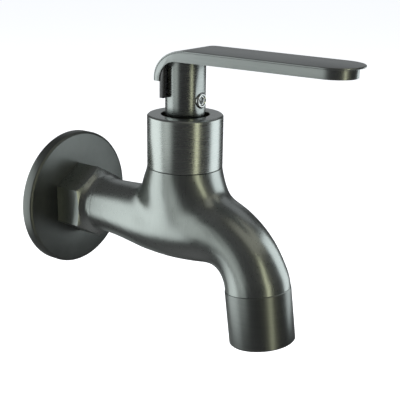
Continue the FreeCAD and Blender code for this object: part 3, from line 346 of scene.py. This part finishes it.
gunmetal_cast = gunmetal(
    "gunmetal_brushed_upright", (0.405, 0.43, 0.42), (0.445, 0.47, 0.46), (0.27, 0.31), DOWN_THE_CASTING,
)
gunmetal_bonnet = gunmetal(
    "gunmetal_brushed_round", (0.49, 0.515, 0.505), (0.53, 0.555, 0.545), (0.26, 0.29), ROUND_THE_STEM,
)
gunmetal_post = gunmetal(
    "gunmetal_brushed_post", (0.35, 0.37, 0.365), (0.39, 0.41, 0.405), (0.26, 0.29), ROUND_THE_STEM,
)
gunmetal_sleeve = gunmetal(
    "gunmetal_dark_round", (0.265, 0.28, 0.275), (0.295, 0.31, 0.305), (0.33, 0.37), ROUND_THE_STEM,
)
gunmetal_lever = gunmetal(
    "gunmetal_brushed_along", (0.38, 0.40, 0.40), (0.41, 0.43, 0.43), (0.30, 0.34), ALONG_THE_LEVER,
)
# The flange's tones are set well below the casting's: painted shade, standing in for the shade the collar and
# tube cast on its face
gunmetal_flange_shaded = gunmetal(
    "gunmetal_turned_face_painted_shade", (0.175, 0.185, 0.18), (0.20, 0.21, 0.205), (0.40, 0.44), ROUND_THE_FACE,
)
bright_chrome = finish_of(
    "screw_chrome", (0.70, 0.71, 0.71), (0.78, 0.79, 0.79),
    1.0, (0.08, 0.14), (900, 900, 900), relief=0.001,
)
bare_steel = finish_of(
    "bare_spring_steel", (0.50, 0.50, 0.49), (0.60, 0.60, 0.59),
    1.0, (0.25, 0.35), (600, 600, 2500), relief=0.002,
)
turned_brass = finish_of(
    "turned_brass", (0.62, 0.44, 0.18), (0.74, 0.56, 0.27),
    1.0, (0.2, 0.3), (80, 80, 2600), relief=0.003,
)
lapped_ceramic = finish_of(
    "lapped_ceramic", (0.80, 0.79, 0.74), (0.86, 0.85, 0.81),
    0.0, (0.12, 0.2), (700, 700, 700),
)
soft_rubber = finish_of(
    "black_rubber", (0.012, 0.012, 0.012), (0.024, 0.024, 0.023),
    0.0, (0.5, 0.7), (900, 900, 900), relief=0.01,
)
grey_foam = finish_of(
    "closed_cell_foam", (0.02, 0.02, 0.02), (0.06, 0.06, 0.06),
    0.0, (0.8, 0.95), (1600, 1600, 1600), relief=0.12,
)
red_fibre = finish_of(
    "pressed_fibre", (0.16, 0.035, 0.015), (0.30, 0.08, 0.04),
    0.0, (0.6, 0.8), (500, 500, 1800), relief=0.03,
)
white_plastic = finish_of(
    "white_plastic", (0.70, 0.71, 0.70), (0.78, 0.79, 0.78),
    0.0, (0.35, 0.45), (500, 500, 500), relief=0.004,
)
dark_plastic = finish_of(
    "dark_plastic", (0.010, 0.010, 0.011), (0.018, 0.018, 0.019),
    0.0, (0.22, 0.3), (700, 700, 700), relief=0.0004, specular=0.9,
)


def dress(piece, material, body, solid):
    """Gives the piece its finish and its body, and hides the solid whose place it takes."""
    piece.data.materials.clear()
    piece.data.materials.append(material)
    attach(piece, body)
    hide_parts(solid)


# Casting: the tube swells under the stem and bends down into the spout

SWELL = 14.7  # radius of the tube under the stem
SPOUT = 15.4  # radius where the spout starts to bend
WAIST = 12.95  # least radius, halfway round the bend
SPOUT_END = 13.23  # radius at the seam


def eased(share):
    """From 0 to 1 with a soft start and a soft end."""
    return (1 - math.cos(math.pi * share)) / 2


def ramp(value, low, high):
    """0 up to low, 1 from high on, and straight in between."""
    return min(1.0, max(0.0, (value - low) / (high - low)))


def rings_between(start, narrow, end, wide, steps):
    """Middles and radii of the rings of a tube that eases from one radius and height to others."""
    rings = []
    for step in range(1, steps + 1):
        share = step / steps
        along = start.x + (end.x - start.x) * share
        height = start.z + (end.z - start.z) * eased(share)
        rings.append((Vector((along, 0, height)), narrow + (wide - narrow) * eased(share)))
    return rings


def spout_radius(share):
    """Radius round the bend, which draws in to a waist and opens again to the seam."""
    drawing_in = max(0.0, 1 - 2 * share) ** 1.7
    opening = max(0.0, 2 * share - 1) ** 2
    return WAIST + (SPOUT - WAIST) * drawing_in + (SPOUT_END - WAIST) * opening


def straight_tube(name):
    """The tube from inside the collar to the bend, drawn out ring by ring."""
    let_go()
    inside_collar = Vector((15.0, 0, 0))
    swell_start = Vector((23.9, 0, 0))
    swell_end = Vector((STEM - 4.7, 0, -0.8))
    bend_start = Vector((BEND_START, 0, BEND_HEIGHT))
    rings = [(swell_start, TUBE)]
    rings += rings_between(swell_start, TUBE, swell_end, SWELL, 12)
    rings += rings_between(swell_end, SWELL, bend_start, SPOUT, 8)
    bpy.ops.mesh.primitive_circle_add(
        vertices=96, radius=TUBE * MM, fill_type="NGON",
        location=inside_collar * MM, rotation=(0, math.pi / 2, 0),
    )
    piece = named(name)
    edit_all(piece)
    centre, radius = inside_collar, TUBE
    for after, wide in rings:
        bpy.ops.mesh.extrude_region_move(TRANSFORM_OT_translate={"value": (after - centre) * MM})
        bpy.ops.transform.resize(value=(wide / radius,) * 3, center_override=after * MM)
        centre, radius = after, wide
    return piece


def water_way(name):
    """The round bar along the water's way: the tube, and the spout spun on from its last ring."""
    piece = straight_tube(name)
    steps = 24
    flat, near = 0.02, 20
    past_seam = 4
    bend_only = 50
    short_of_seam = 6
    turn = math.pi / 2 - TILT
    bpy.ops.mesh.spin(steps=steps, angle=-turn, center=BEND_MIDDLE * MM, axis=(0, 1, 0))
    let_go()
    tidy(piece)
    for step in range(1, steps + 1):
        share = step / steps
        angle = turn * share
        middle = BEND_MIDDLE + BEND_RADIUS * Vector((math.sin(angle), 0, math.cos(angle)))
        forward = Vector((math.cos(angle), 0, -math.sin(angle)))

        def on_this_ring(place):
            away = place - middle
            return abs(away.dot(forward)) < flat and away.length < near

        pick_corners(piece, on_this_ring)
        bpy.ops.transform.resize(value=(spout_radius(share) / SPOUT,) * 3, center_override=middle * MM)
    pick_faces(piece, lambda place: (place - SEAM).length < 2)
    bpy.ops.mesh.extrude_region_move(TRANSFORM_OT_translate={"value": WATER * past_seam * MM})
    pick_corners(piece, lambda place: place.x > bend_only and (SEAM - place).dot(WATER) > short_of_seam)
    bpy.ops.mesh.vertices_smooth(factor=0.5, repeat=24)
    let_go()
    return tidy(piece)


def upright_neck(name):
    """The neck, drawn down ring by ring from above the bonnet's seam into the body."""
    let_go()
    radius = BONNET_RADIUS - 0.05
    top = BODY_TOP + 3
    flare_front, flare_rear = 7.5, 4.5
    front_done, rear_done = 0.6, 0.35
    drawn_in = 0.9
    centre, long, wide = Vector((STEM, 0, top)), radius, radius
    bpy.ops.mesh.primitive_circle_add(
        vertices=96, radius=radius * MM, fill_type="NGON", location=centre * MM,
    )
    piece = named(name)
    edit_all(piece)
    steps = 20
    for step in range(steps + 1):
        share = step / steps
        front = flare_front * min(1.0, share / front_done) ** 1.3
        rear = flare_rear * min(1.0, share / rear_done) ** 1.1
        after = Vector((STEM + (front - rear) / 2, 0, BODY_TOP * (1 - share)))
        new_long = radius + (front + rear) / 2
        new_wide = radius - drawn_in * share ** 2
        bpy.ops.mesh.extrude_region_move(TRANSFORM_OT_translate={"value": (after - centre) * MM})
        bpy.ops.transform.resize(value=(new_long / long, new_wide / wide, 1), center_override=after * MM)
        centre, long, wide = after, new_long, new_wide
    let_go()
    return tidy(piece)


def hollows(piece, reach):
    """How much each corner lies in a hollow, or within reach of one."""
    flat, deep = 0.006, 0.03
    fading = 0.93
    corners = piece.data.vertices
    pairs = [tuple(edge.vertices) for edge in piece.data.edges]
    pull = [Vector() for corner in corners]
    count = [0] * len(corners)
    for one, other in pairs:
        pull[one] += corners[other].co - corners[one].co
        pull[other] += corners[one].co - corners[other].co
        count[one] += 1
        count[other] += 1
    share = [
        ramp(total.dot(corner.normal) / number / MM, flat, deep)
        for corner, total, number in zip(corners, pull, count)
    ]
    for step in range(reach):
        wider = list(share)
        for one, other in pairs:
            wider[one] = max(wider[one], fading * share[other])
            wider[other] = max(wider[other], fading * share[one])
        share = wider
    return share


def evened(place):
    """How much a place of the casting gives way when the whole of it is evened out."""
    below_bonnet = ramp(BODY_TOP - place.z, 1, 8)
    before_seam = ramp((SEAM - place).dot(WATER), 2, 12)
    past_collar = ramp(place.x, 30, 44)
    return below_bonnet * before_seam * past_collar


def rub(piece, shares, times):
    """Smooths each corner by its own share."""
    group = piece.vertex_groups.new(name="rubbed")
    for number, share in enumerate(shares):
        group.add([number], share, "REPLACE")
    add_modifier(piece, "SMOOTH", factor=0.5, iterations=times, vertex_group="rubbed")
    piece.vertex_groups.clear()


def casting():
    """Tube, neck and spout grown into each other, cut off at the seams, with the inlet bored."""
    piece = water_way("cast_body")
    cut_with(piece, upright_neck("neck_blank"), "UNION")
    add_modifier(piece, "REMESH", mode="VOXEL", voxel_size=0.8 * MM, adaptivity=0)
    add_modifier(piece, "SMOOTH", factor=0.5, iterations=4)
    rub(piece, hollows(piece, 7), 90)
    rub(piece, [evened(corner.co / MM) for corner in piece.data.vertices], 80)
    add_modifier(piece, "SMOOTH", factor=0.5, iterations=6)
    add_modifier(piece, "SUBSURF", levels=1, render_levels=1)
    bore_start, bore_length = 10, 29.6
    cut_with(piece, block("above_seam", (STEM - 30, -30, BODY_TOP), (STEM + 30, 30, BODY_TOP + 20)))
    cut_with(piece, round_bar("below_seam", SEAM, WATER, 20, 30))
    cut_with(piece, block("behind_collar", (0, -30, -30), (TUBE_START, 30, 30)))
    cut_with(piece, round_bar("inlet_bore", (bore_start, 0, 0), ALONG_X, bore_length, INLET_BORE, 64))
    return shade(piece, 40)


dress(casting(), gunmetal_cast, "tap_body", "body_casting")


# Collar: a hexagon turned to a cone in front, with a hollow where it meets the tube

def hexagon_collar():
    """The cone falls at 45 degrees from the turned face, and an arc leads it into the tube."""
    across = 28.0
    front = FLANGE_FRONT + 12.8
    corner, turned_face = 16.1, 14.0
    cone = front - 1.0
    fillet = 3.6
    foot = front + turned_face - TUBE
    middle_along = foot + fillet * math.tan(math.radians(22.5))
    middle_away = TUBE + fillet
    corners = [(FLANGE_FRONT, INLET_BORE), (FLANGE_FRONT, corner), (cone, corner), (front, turned_face)]
    steps = 8
    for step in range(steps + 1):
        angle = math.radians(225 + 45 * step / steps)
        corners.append((middle_along + fillet * math.cos(angle), middle_away + fillet * math.sin(angle)))
    corners += [(TUBE_START, TUBE), (TUBE_START, INLET_BORE)]
    piece = turned("hexagon_collar", corners, (0, 0, 0), ALONG_X)
    cut_with(piece, hexagon_bar("hexagon_keep", (0, 0, 0), 30, across), "INTERSECT")
    return shade(soften(tidy(piece, 0.002), 0.35, 3, 14), 30)


dress(hexagon_collar(), gunmetal_cast, "tap_body", "body_casting")


# Threaded tail behind the wall plane

def threaded_tail():
    """The thread's side outline screwed round X, cut to length, with a lead and a plain end."""
    pitch, crest, root = 1.814, 10.4775, 9.35
    rows = 10
    start = -16.0
    tail_end = -13.0
    side = [(0, root), (0.12, root), (0.45, crest), (0.6, crest), (0.93, root)]
    points = []
    for row in range(rows):
        for share, away in side:
            points.append((start + (row + share) * pitch, 0, away))
    piece = drawn_line("threaded_tail", points)
    let_go()
    add_modifier(
        piece, "SCREW", axis="X", angle=2 * math.pi, screw_offset=pitch * MM, steps=96, render_steps=96,
        use_merge_vertices=True, merge_threshold=0.001 * MM, use_smooth_shade=False,
    )
    edit_all(piece)
    bpy.ops.mesh.remove_doubles(threshold=0.002 * MM)
    for place, outwards in ((tail_end - 0.2, -1), (-0.2, 1)):
        bpy.ops.mesh.select_all(action="SELECT")
        bpy.ops.mesh.bisect(
            plane_co=(place * MM, 0, 0), plane_no=(outwards, 0, 0), use_fill=True, clear_outer=True,
        )
    let_go()
    tidy(piece, 0.001)
    lead_radius, past_crest = 9.48, 10.6
    lead = [(tail_end, 0), (tail_end, lead_radius), (tail_end + 1.0, past_crest), (1.0, past_crest), (1.0, 0)]
    cut_with(piece, turned("tail_lead", lead, (0, 0, 0), ALONG_X, 96), "INTERSECT")
    plain, plain_foot = crest - 0.3, 9.6
    plain_end = FLANGE_FRONT + 0.05
    runout = [(-0.6, 0), (-0.6, plain_foot), (-0.3, plain), (plain_end, plain), (plain_end, 0)]
    cut_with(piece, turned("tail_runout", runout, (0, 0, 0), ALONG_X, 96), "UNION")
    cut_with(piece, round_bar("tail_bore", (-20, 0, 0), ALONG_X, 30, INLET_BORE))
    return shade(tidy(piece, 0.001), 25)


dress(threaded_tail(), gunmetal_flange_shaded, "tap_body", "body_casting")


# Wall flange

def wall_flange():
    """A shallow cup, open to the wall, with a bevel round its face."""
    rim, hole, wall = 30.0, 10.68, 1.5
    bevel, bevel_depth = 1.0, 0.6
    inside = FLANGE_FRONT - wall
    piece = turned("flange_cup", [
        (inside, hole), (FLANGE_FRONT, hole), (FLANGE_FRONT, rim - bevel), (FLANGE_FRONT - bevel_depth, rim),
        (0, rim), (0, rim - wall), (inside, rim - wall),
    ], (0, 0, 0), ALONG_X, 192)
    return shade(soften(piece, 0.25, 3, 20), 35)


# Its finish is darker than the casting's: painted shade for the shade from the collar and tube
dress(wall_flange(), gunmetal_flange_shaded, "tap_body", "wall_flange")


# Bonnet

def bonnet():
    """A sleeve with a step inside and a hole in its top, which the post turns in."""
    skirt, room, hole = 13.9, 10.85, 9.85
    step, lip = 32.5, BONNET_TOP - 1.8
    seam_in, seam_up = 0.4, 0.35
    edge = 0.6
    piece = turned("bonnet_cover", [
        (BODY_TOP, skirt), (BODY_TOP, BONNET_RADIUS - seam_in), (BODY_TOP + seam_up, BONNET_RADIUS),
        (BONNET_TOP - edge, BONNET_RADIUS), (BONNET_TOP, BONNET_RADIUS - edge), (BONNET_TOP, hole),
        (lip, hole), (lip, room), (step, room), (step, skirt),
    ], (STEM, 0, 0), ALONG_Z, 192)
    return shade(soften(piece, 0.16, 3, 20), 35)


dress(bonnet(), gunmetal_bonnet, "tap_body", "bonnet_sleeve")


# Lever hub, seen from the side a post with two flats behind

def post():
    """Bored from below for the spindle, with a smaller hole through its top for the lever's screw."""
    foot = BONNET_TOP - 2.4
    bore, bore_top = 4.0, 60.9
    grub_hole = 3.25
    piece = turned("lever_post", [
        (foot, bore), (foot, POST_RADIUS), (LEVER_UNDER, POST_RADIUS), (LEVER_UNDER, SCREW_HOLE),
        (bore_top, SCREW_HOLE), (bore_top, bore),
    ], (STEM, 0, 0), ALONG_Z, 128)
    cut_with(piece, block("lower_flat", (STEM - 12, -12, POST_LEDGE), (STEM - LOWER_FLAT, 12, POST_STEP)))
    cut_with(piece, block("upper_flat", (STEM - 12, -12, POST_STEP), (STEM - UPPER_FLAT, 12, 70)))
    cut_with(piece, round_bar("grub_hole", (STEM, 0, GRUB_HEIGHT), ALONG_X, 12, grub_hole, 64))
    return shade(soften(piece, 0.12, 2, 35), 35)


dress(post(), gunmetal_post, "handle", "lever_hub")


def grub():
    """Rounded rim, a sunk cone inside it and a hexagon socket."""
    inner = 4.0
    outer = POST_RADIUS + 0.45
    radius, chamfer = 3.0, 0.4
    rim, sunk = 0.45, 0.5
    cone_rim, cone_foot = 2.25, 1.8
    socket_across, socket_depth = 3.0, 2.4
    piece = turned("grub_screw_bright", [
        (inner, 0), (inner, radius - chamfer), (inner + chamfer, radius), (outer - sunk, radius),
        (outer, radius - rim), (outer, cone_rim), (outer - sunk, cone_foot), (outer - sunk, 0),
    ], (STEM, 0, GRUB_HEIGHT), ALONG_X, 64)
    socket = (STEM + outer - socket_depth, 0, GRUB_HEIGHT)
    cut_with(piece, hexagon_bar("grub_socket", socket, 4, socket_across))
    return shade(soften(piece, 0.08, 2, 35), 35)


dress(grub(), bright_chrome, "handle", "grub_screw")


# Lever: a thin skin over a core that draws in towards the tip

PAST_TIP = STEM + 80  # where the side outlines end, before the lever's plan is cut
PAST_SIDE = 14  # half the width of the plates from those outlines


def bent_side(inset):
    """The lever's outer side outline, from the foot of the flap to past the tip."""
    points = [(STEM - LEVER_BACK + inset, FLAP_FOOT)]
    steps = 24
    for step in range(steps + 1):
        angle = math.radians(180 - 90 * step / steps)
        points.append((
            STEM - LEVER_BACK + BEND_LONG + (BEND_LONG - inset) * math.cos(angle),
            LEVER_TOP - BEND_HIGH + (BEND_HIGH - inset) * math.sin(angle),
        ))
    points.append((PAST_TIP, LEVER_TOP - inset))
    return points


def bent_room(back, bend, front, low):
    """The inner side outline, from the front back to the bend and down to the low end."""
    points = [(front, LEVER_UNDER)]
    steps = 16
    for step in range(steps + 1):
        angle = math.radians(90 + 90 * step / steps)
        points.append((
            STEM - back + bend + bend * math.cos(angle),
            LEVER_UNDER - bend + bend * math.sin(angle),
        ))
    points.append((STEM - back, low))
    return points


def side_slab(name, points, low, high):
    """A plate with this side outline, from one side of the lever to the other."""
    return slab(name, [Vector((x, low, z)) for x, z in points], (0, high - low, 0))


def plan_slab(name, taper_from, half_front, reach, tip):
    """A plate with the lever's plan, which narrows from a place on and ends in an oval tip."""
    start = STEM - 12
    low, height = 58, 18
    points = [Vector((start, -LEVER_HALF, low)), Vector((taper_from, -LEVER_HALF, low))]
    steps = 32
    for step in range(steps + 1):
        angle = math.radians(-90 + 180 * step / steps)
        points.append(Vector((reach - tip + tip * math.cos(angle), half_front * math.sin(angle), low)))
    points += [Vector((taper_from, LEVER_HALF, low)), Vector((start, LEVER_HALF, low))]
    return slab(name, points, (0, 0, height))


def lever_skin():
    """The thin skin over the whole of the lever, down to the foot of the flap."""
    outline = bent_side(0) + list(reversed(bent_side(LEVER_SKIN)))
    piece = side_slab("lever_skin", outline, -PAST_SIDE, PAST_SIDE)
    plan = plan_slab("skin_plan", STEM, LEVER_HALF, STEM + LEVER_REACH, 11.5)
    cut_with(piece, plan, "INTERSECT")
    return shade(soften(tidy(piece, 0.001), 0.3, 3, 35), 35)


def lever_core():
    """The bar under the skin, shorter and narrower in front, with the hole for its screw."""
    short, narrow = 2.3, 2.27
    outline = bent_side(LEVER_SKIN) + bent_room(FLAP_FRONT, INNER_BEND, PAST_TIP, FLAP_FOOT)
    piece = side_slab("lever_core", outline, -PAST_SIDE, PAST_SIDE)
    plan = plan_slab("core_plan", STEM + 2, LEVER_HALF - narrow, STEM + LEVER_REACH - short, 10)
    cut_with(piece, plan, "INTERSECT")
    hole_start, hole_end = 60, 71.65
    cut_with(piece, round_bar(
        "core_screw_room", (STEM, 0, hole_start), ALONG_Z, hole_end - hole_start, SCREW_HOLE, 48,
    ))
    return shade(soften(tidy(piece, 0.001), 0.14, 3, 35), 35)


dress(lever_skin(), gunmetal_lever, "handle", "lever_plate")
dress(lever_core(), gunmetal_lever, "handle", "lever_plate")


# Dark filler between the flap and the hub

def filler():
    """A strip that follows the flap, with a ridge down each side of its front."""
    half = LEVER_HALF - 0.3
    ridge_out, ridge_in = 9.1, 8.8
    ridge_front, ridge_bend = 2.7, 3.2
    face_front, face_bend = 3.0, 3.5
    slip = 0.05
    front, past_front = STEM + 3, STEM + 4
    past_side, past_foot = half + 2, POST_LEDGE - 1
    strip = bent_room(FLAP_FRONT, INNER_BEND, front, POST_LEDGE) + [(front, POST_LEDGE)]
    ridges = bent_room(ridge_front, ridge_bend, past_front, past_foot) + [(past_front, past_foot)]
    face = bent_room(face_front, face_bend, past_front, past_foot) + [(past_front, past_foot)]
    piece = side_slab("lever_filler", strip, -half, half)
    between_ridges = ((-past_side, -ridge_out), (-ridge_in, ridge_in), (ridge_out, past_side))
    for low, high in between_ridges:
        cut_with(piece, side_slab("filler_front", face, low, high))
    cut_with(piece, side_slab("filler_ridges", ridges, -past_side, past_side))
    room = round_bar("filler_room", (STEM, 0, 50), ALONG_Z, 30, POST_RADIUS + slip, 96)
    flat_low = (STEM - 12, -12, POST_STEP - slip)
    flat_high = (STEM - UPPER_FLAT - slip, 12, 90)
    cut_with(room, block("room_flat", flat_low, flat_high))
    cut_with(piece, tidy(room))
    return shade(soften(tidy(piece, 0.001), 0.12, 2, 35), 35)


dress(filler(), dark_plastic, "handle", "lever_liner")


# Outlet sleeve

def outlet_sleeve():
    """A plain sleeve below the seam, with a wider bore for the spigot and a lip round its mouth."""
    radius, length = 13.38, 22.4
    spigot, spigot_depth = 11.8, 8.3
    bore, mouth, lip = 11.3, 10.2, 1.2
    seam_in, seam_down = 0.4, 0.35
    edge = 0.5
    piece = turned("outlet_sleeve", [
        (0, spigot), (0, radius - seam_in), (seam_down, radius),
        (length - edge, radius), (length, radius - edge), (length, mouth),
        (length - lip, mouth), (length - lip, bore), (spigot_depth, bore), (spigot_depth, spigot),
    ], SEAM, WATER, 192)
    return shade(soften(piece, 0.14, 3, 20), 35)


dress(outlet_sleeve(), gunmetal_sleeve, "tap_body", "aerator_sleeve")


# Solids whose own shape is right

KEPT = {
    "flange_foam": (grey_foam, "foam"),
    "seat_seal": (soft_rubber, "black_rubber"),
    "fixed_ceramic_disc": (lapped_ceramic, "ceramic"),
    "moving_ceramic_disc": (lapped_ceramic, "ceramic"),
    "headwork_housing": (turned_brass, "brass"),
    "fibre_washer": (red_fibre, "fibre"),
    "spindle": (turned_brass, "brass"),
    "spindle_o_rings": (soft_rubber, "black_rubber"),
    "glide_washer": (white_plastic, "white_plastic"),
    "stop_ring": (bare_steel, "spring_steel"),
    "retaining_clip": (bare_steel, "spring_steel"),
    "lever_screw": (bare_steel, "spring_steel"),
    "aerator_washer": (soft_rubber, "black_rubber"),
    "aerator_diffuser": (white_plastic, "white_plastic"),
    "aerator_cage": (white_plastic, "white_plastic"),
    "aerator_screens": (bare_steel, "spring_steel"),
}
for name, (material, slot) in KEPT.items():
    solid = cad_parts[name]
    solid.data.materials.clear()
    solid.data.materials.append(material)


# Studio: pale floor, soft lamps, and cards that only the metal sees, in metres from the part's middle

CENTRE = Vector((70, 0, 15)) * MM
CAMERA_TURN = -53.205  # degrees round the upright, counted from X
CAMERA_HEIGHT = 17.234  # degrees above the level
ROOM = 2.2  # radius of the dim room round it all


def way_to(turn, height):
    """The way from the part to a place round it, in degrees. Turn counts from the camera to the right."""
    angle = math.radians(CAMERA_TURN + turn)
    lift = math.radians(height)
    return Vector((math.cos(angle) * math.cos(lift), math.sin(angle) * math.cos(lift), math.sin(lift)))


def pale_floor():
    """Matt and white, a little brighter to the eye, with its shadows kept."""
    material = bpy.data.materials.new("pale_floor")
    material.use_nodes = True
    tree = material.node_tree
    shader = tree.nodes["Principled BSDF"]
    shader.inputs["Base Color"].default_value = (0.93, 0.93, 0.93, 1)
    shader.inputs["Roughness"].default_value = 0.9
    shader.inputs["Specular IOR Level"].default_value = 0.0
    shader.inputs["Emission Color"].default_value = (1, 1, 1, 1)
    path = node(tree, "ShaderNodeLightPath")
    brighter = spread(tree, path.outputs["Is Camera Ray"], 0, 1, 0, 0.34)
    tree.links.new(brighter, shader.inputs["Emission Strength"])
    return material


def glowing(name):
    """A material that only glows, and the light in it."""
    material = bpy.data.materials.new(name)
    material.use_nodes = True
    tree = material.node_tree
    tree.nodes.clear()
    light = node(tree, "ShaderNodeEmission", Strength=1.0)
    out = node(tree, "ShaderNodeOutputMaterial")
    tree.links.new(light.outputs["Emission"], out.inputs["Surface"])
    return material, light


def soft_glow(name, colour, strength, fade):
    """Even in the middle, fading towards the edges over a share of the width and of the height."""
    material, light = glowing(name)
    tree = material.node_tree
    light.inputs["Color"].default_value = (*colour, 1)
    place = node(tree, "ShaderNodeTexCoord")
    split = node(tree, "ShaderNodeSeparateXYZ")
    tree.links.new(place.outputs["UV"], split.inputs["Vector"])
    power = None
    for axis, share in zip("XY", fade):
        for start, end in ((0, share), (1, 1 - share)):
            edge = node(tree, "ShaderNodeMapRange", interpolation_type="SMOOTHSTEP")
            edge.inputs["From Min"].default_value = start
            edge.inputs["From Max"].default_value = end
            tree.links.new(split.outputs[axis], edge.inputs["Value"])
            joined = node(tree, "ShaderNodeMath", operation="MULTIPLY")
            tree.links.new(edge.outputs["Result"], joined.inputs[0])
            if power:
                tree.links.new(power, joined.inputs[1])
            else:
                joined.inputs[1].default_value = strength
            power = joined.outputs["Value"]
    tree.links.new(power, light.inputs["Strength"])
    return material


def only_in_metal(piece):
    """Leaves the piece to reflections alone."""
    piece.visible_camera = False
    piece.visible_diffuse = False
    piece.visible_shadow = False
    piece.visible_transmission = False
    piece.visible_volume_scatter = False


def card(name, turn, height, distance, size, fade, colour, strength, toe=0):
    """A glowing card round the part, turned by toe degrees from facing it."""
    let_go()
    toward = way_to(turn, height)
    faced = Matrix.Rotation(math.radians(toe), 3, "Z") @ toward
    bpy.ops.mesh.primitive_plane_add(
        size=1, location=CENTRE + toward * distance, rotation=faced.to_track_quat("Z", "Y").to_euler(),
    )
    piece = bpy.context.object
    piece.scale = (*size, 1)
    piece.name = name
    piece.data.materials.append(soft_glow(name, colour, strength, fade))
    only_in_metal(piece)


def dome():
    """Dim room round the cards: dark near the floor, grey overhead."""
    let_go()
    bpy.ops.mesh.primitive_uv_sphere_add(segments=64, ring_count=32, radius=ROOM, location=CENTRE)
    piece = settle(bpy.context.object)
    piece.name = "dim_room"
    material, light = glowing("dim_room")
    tree = material.node_tree
    place = node(tree, "ShaderNodeTexCoord")
    split = node(tree, "ShaderNodeSeparateXYZ")
    tree.links.new(place.outputs["Object"], split.inputs["Vector"])
    height = spread(tree, split.outputs["Z"], -ROOM, ROOM, 0.0, 1.0)
    greys = [
        (0.0, 0.20), (0.07, 0.16), (0.17, 0.08), (0.35, 0.055),
        (0.5, 0.055), (0.65, 0.075), (0.85, 0.10), (1.0, 0.12),
    ]
    tone = blended(tree, height, [(level, (grey,) * 3) for level, grey in greys])
    tree.links.new(tone, light.inputs["Color"])
    piece.data.materials.append(material)
    only_in_metal(piece)


COOL = (0.94, 1.0, 0.98)
GREY = (0.95, 0.98, 1.0)

dome()
card("soft_box_left", -94, -2, 0.75, (0.98, 1.20), (0.13, 0.25), COOL, 1.45)
card("soft_wing_left", -56, 1, 0.75, (0.68, 1.05), (0.45, 0.35), (0.94, 1.0, 0.96), 0.82)
card("warm_strip", 36, 0, 0.75, (0.15, 1.5), (0.25, 0.2), (1.0, 1.0, 0.70), 1.85)
card("soft_box_right", 107, -3, 0.124, (0.128, 0.130), (0.08, 0.08), (0.93, 1.0, 1.0), 1.5, toe=-39)
card("grey_card_behind", 180, 18, 0.75, (0.80, 0.50), (0.2, 0.2), GREY, 0.34)
card("soft_card_low", -152, -38, 0.75, (0.50, 0.40), (0.3, 0.3), COOL, 0.25)
card("warm_card_above", 55, 55, 0.75, (1.2, 0.8), (0.3, 0.3), (1.0, 0.98, 0.84), 0.42)
card("grey_card_above", 140, 46, 0.75, (0.60, 0.60), (0.3, 0.3), GREY, 0.36)


def floor():
    """A wide floor below the part, which the metal doesn't see."""
    let_go()
    bpy.ops.mesh.primitive_plane_add(size=8, location=(0, 0, -0.2))
    piece = bpy.context.object
    piece.name = "floor"
    piece.data.materials.append(pale_floor())
    piece.visible_glossy = False


floor()


def lamp(name, turn, height, distance, size, power):
    """A square soft lamp round the part."""
    let_go()
    toward = way_to(turn, height)
    bpy.ops.object.light_add(
        type="AREA", location=CENTRE + toward * distance, rotation=toward.to_track_quat("Z", "Y").to_euler(),
    )
    light = bpy.context.object
    light.name = name
    light.data.shape = "SQUARE"
    light.data.size = size
    light.data.energy = power
    light.visible_glossy = False


lamp("lamp_left", -60, 40, 1.2, 0.9, 6.0)
lamp("lamp_right", 70, 35, 1.2, 0.9, 5.0)
lamp("lamp_above", 180, 75, 1.2, 1.1, 5.0)


def room_light():
    """A world that is white where it is seen or mirrored, and lights the part softly."""
    world = bpy.data.worlds.new("studio")
    bpy.context.scene.world = world
    world.use_nodes = True
    tree = world.node_tree
    tree.nodes.clear()
    path = node(tree, "ShaderNodeLightPath")
    seen = path.outputs["Is Camera Ray"]
    for kind in ("Is Glossy Ray", "Is Transmission Ray"):
        either = node(tree, "ShaderNodeMath", operation="ADD", use_clamp=True)
        tree.links.new(seen, either.inputs[0])
        tree.links.new(path.outputs[kind], either.inputs[1])
        seen = either.outputs["Value"]
    soft = node(tree, "ShaderNodeBackground", Color=(0.93, 0.96, 1.0, 1), Strength=0.7)
    white = node(tree, "ShaderNodeBackground", Color=(1, 1, 1, 1), Strength=1.0)
    mixed = node(tree, "ShaderNodeMixShader")
    out = node(tree, "ShaderNodeOutputWorld")
    tree.links.new(seen, mixed.inputs["Fac"])
    tree.links.new(soft.outputs["Background"], mixed.inputs[1])
    tree.links.new(white.outputs["Background"], mixed.inputs[2])
    tree.links.new(mixed.outputs["Shader"], out.inputs["Surface"])


room_light()
bpy.context.scene.view_settings.view_transform = "Standard"


# Camera at the photograph's viewing angle

def camera():
    """Looks past the stem's axis, a little above the inlet, with a roll of under a degree."""
    distance = 371.6
    aim_right, aim_up = 6.378, 9.950
    roll = math.radians(-0.785)
    lens_to_width = 889.78 / 400
    turn = math.radians(CAMERA_TURN)
    away = way_to(0, CAMERA_HEIGHT)
    right = Vector((-math.sin(turn), math.cos(turn), 0))
    up = away.cross(right)
    target = Vector((STEM, 0, 0)) + aim_right * right + aim_up * up
    rolled_right = math.cos(roll) * right - math.sin(roll) * up
    rolled_up = math.sin(roll) * right + math.cos(roll) * up
    let_go()
    bpy.ops.object.camera_add()
    piece = bpy.context.object
    piece.name = "photo_camera"
    faced = Matrix((rolled_right, rolled_up, away)).transposed()
    piece.matrix_world = Matrix.Translation((target + away * distance) * MM) @ faced.to_4x4()
    piece.data.sensor_width = 36
    piece.data.lens = lens_to_width * piece.data.sensor_width
    piece.data.clip_start = 0.01
    piece.data.clip_end = 20
    bpy.context.scene.camera = piece


camera()
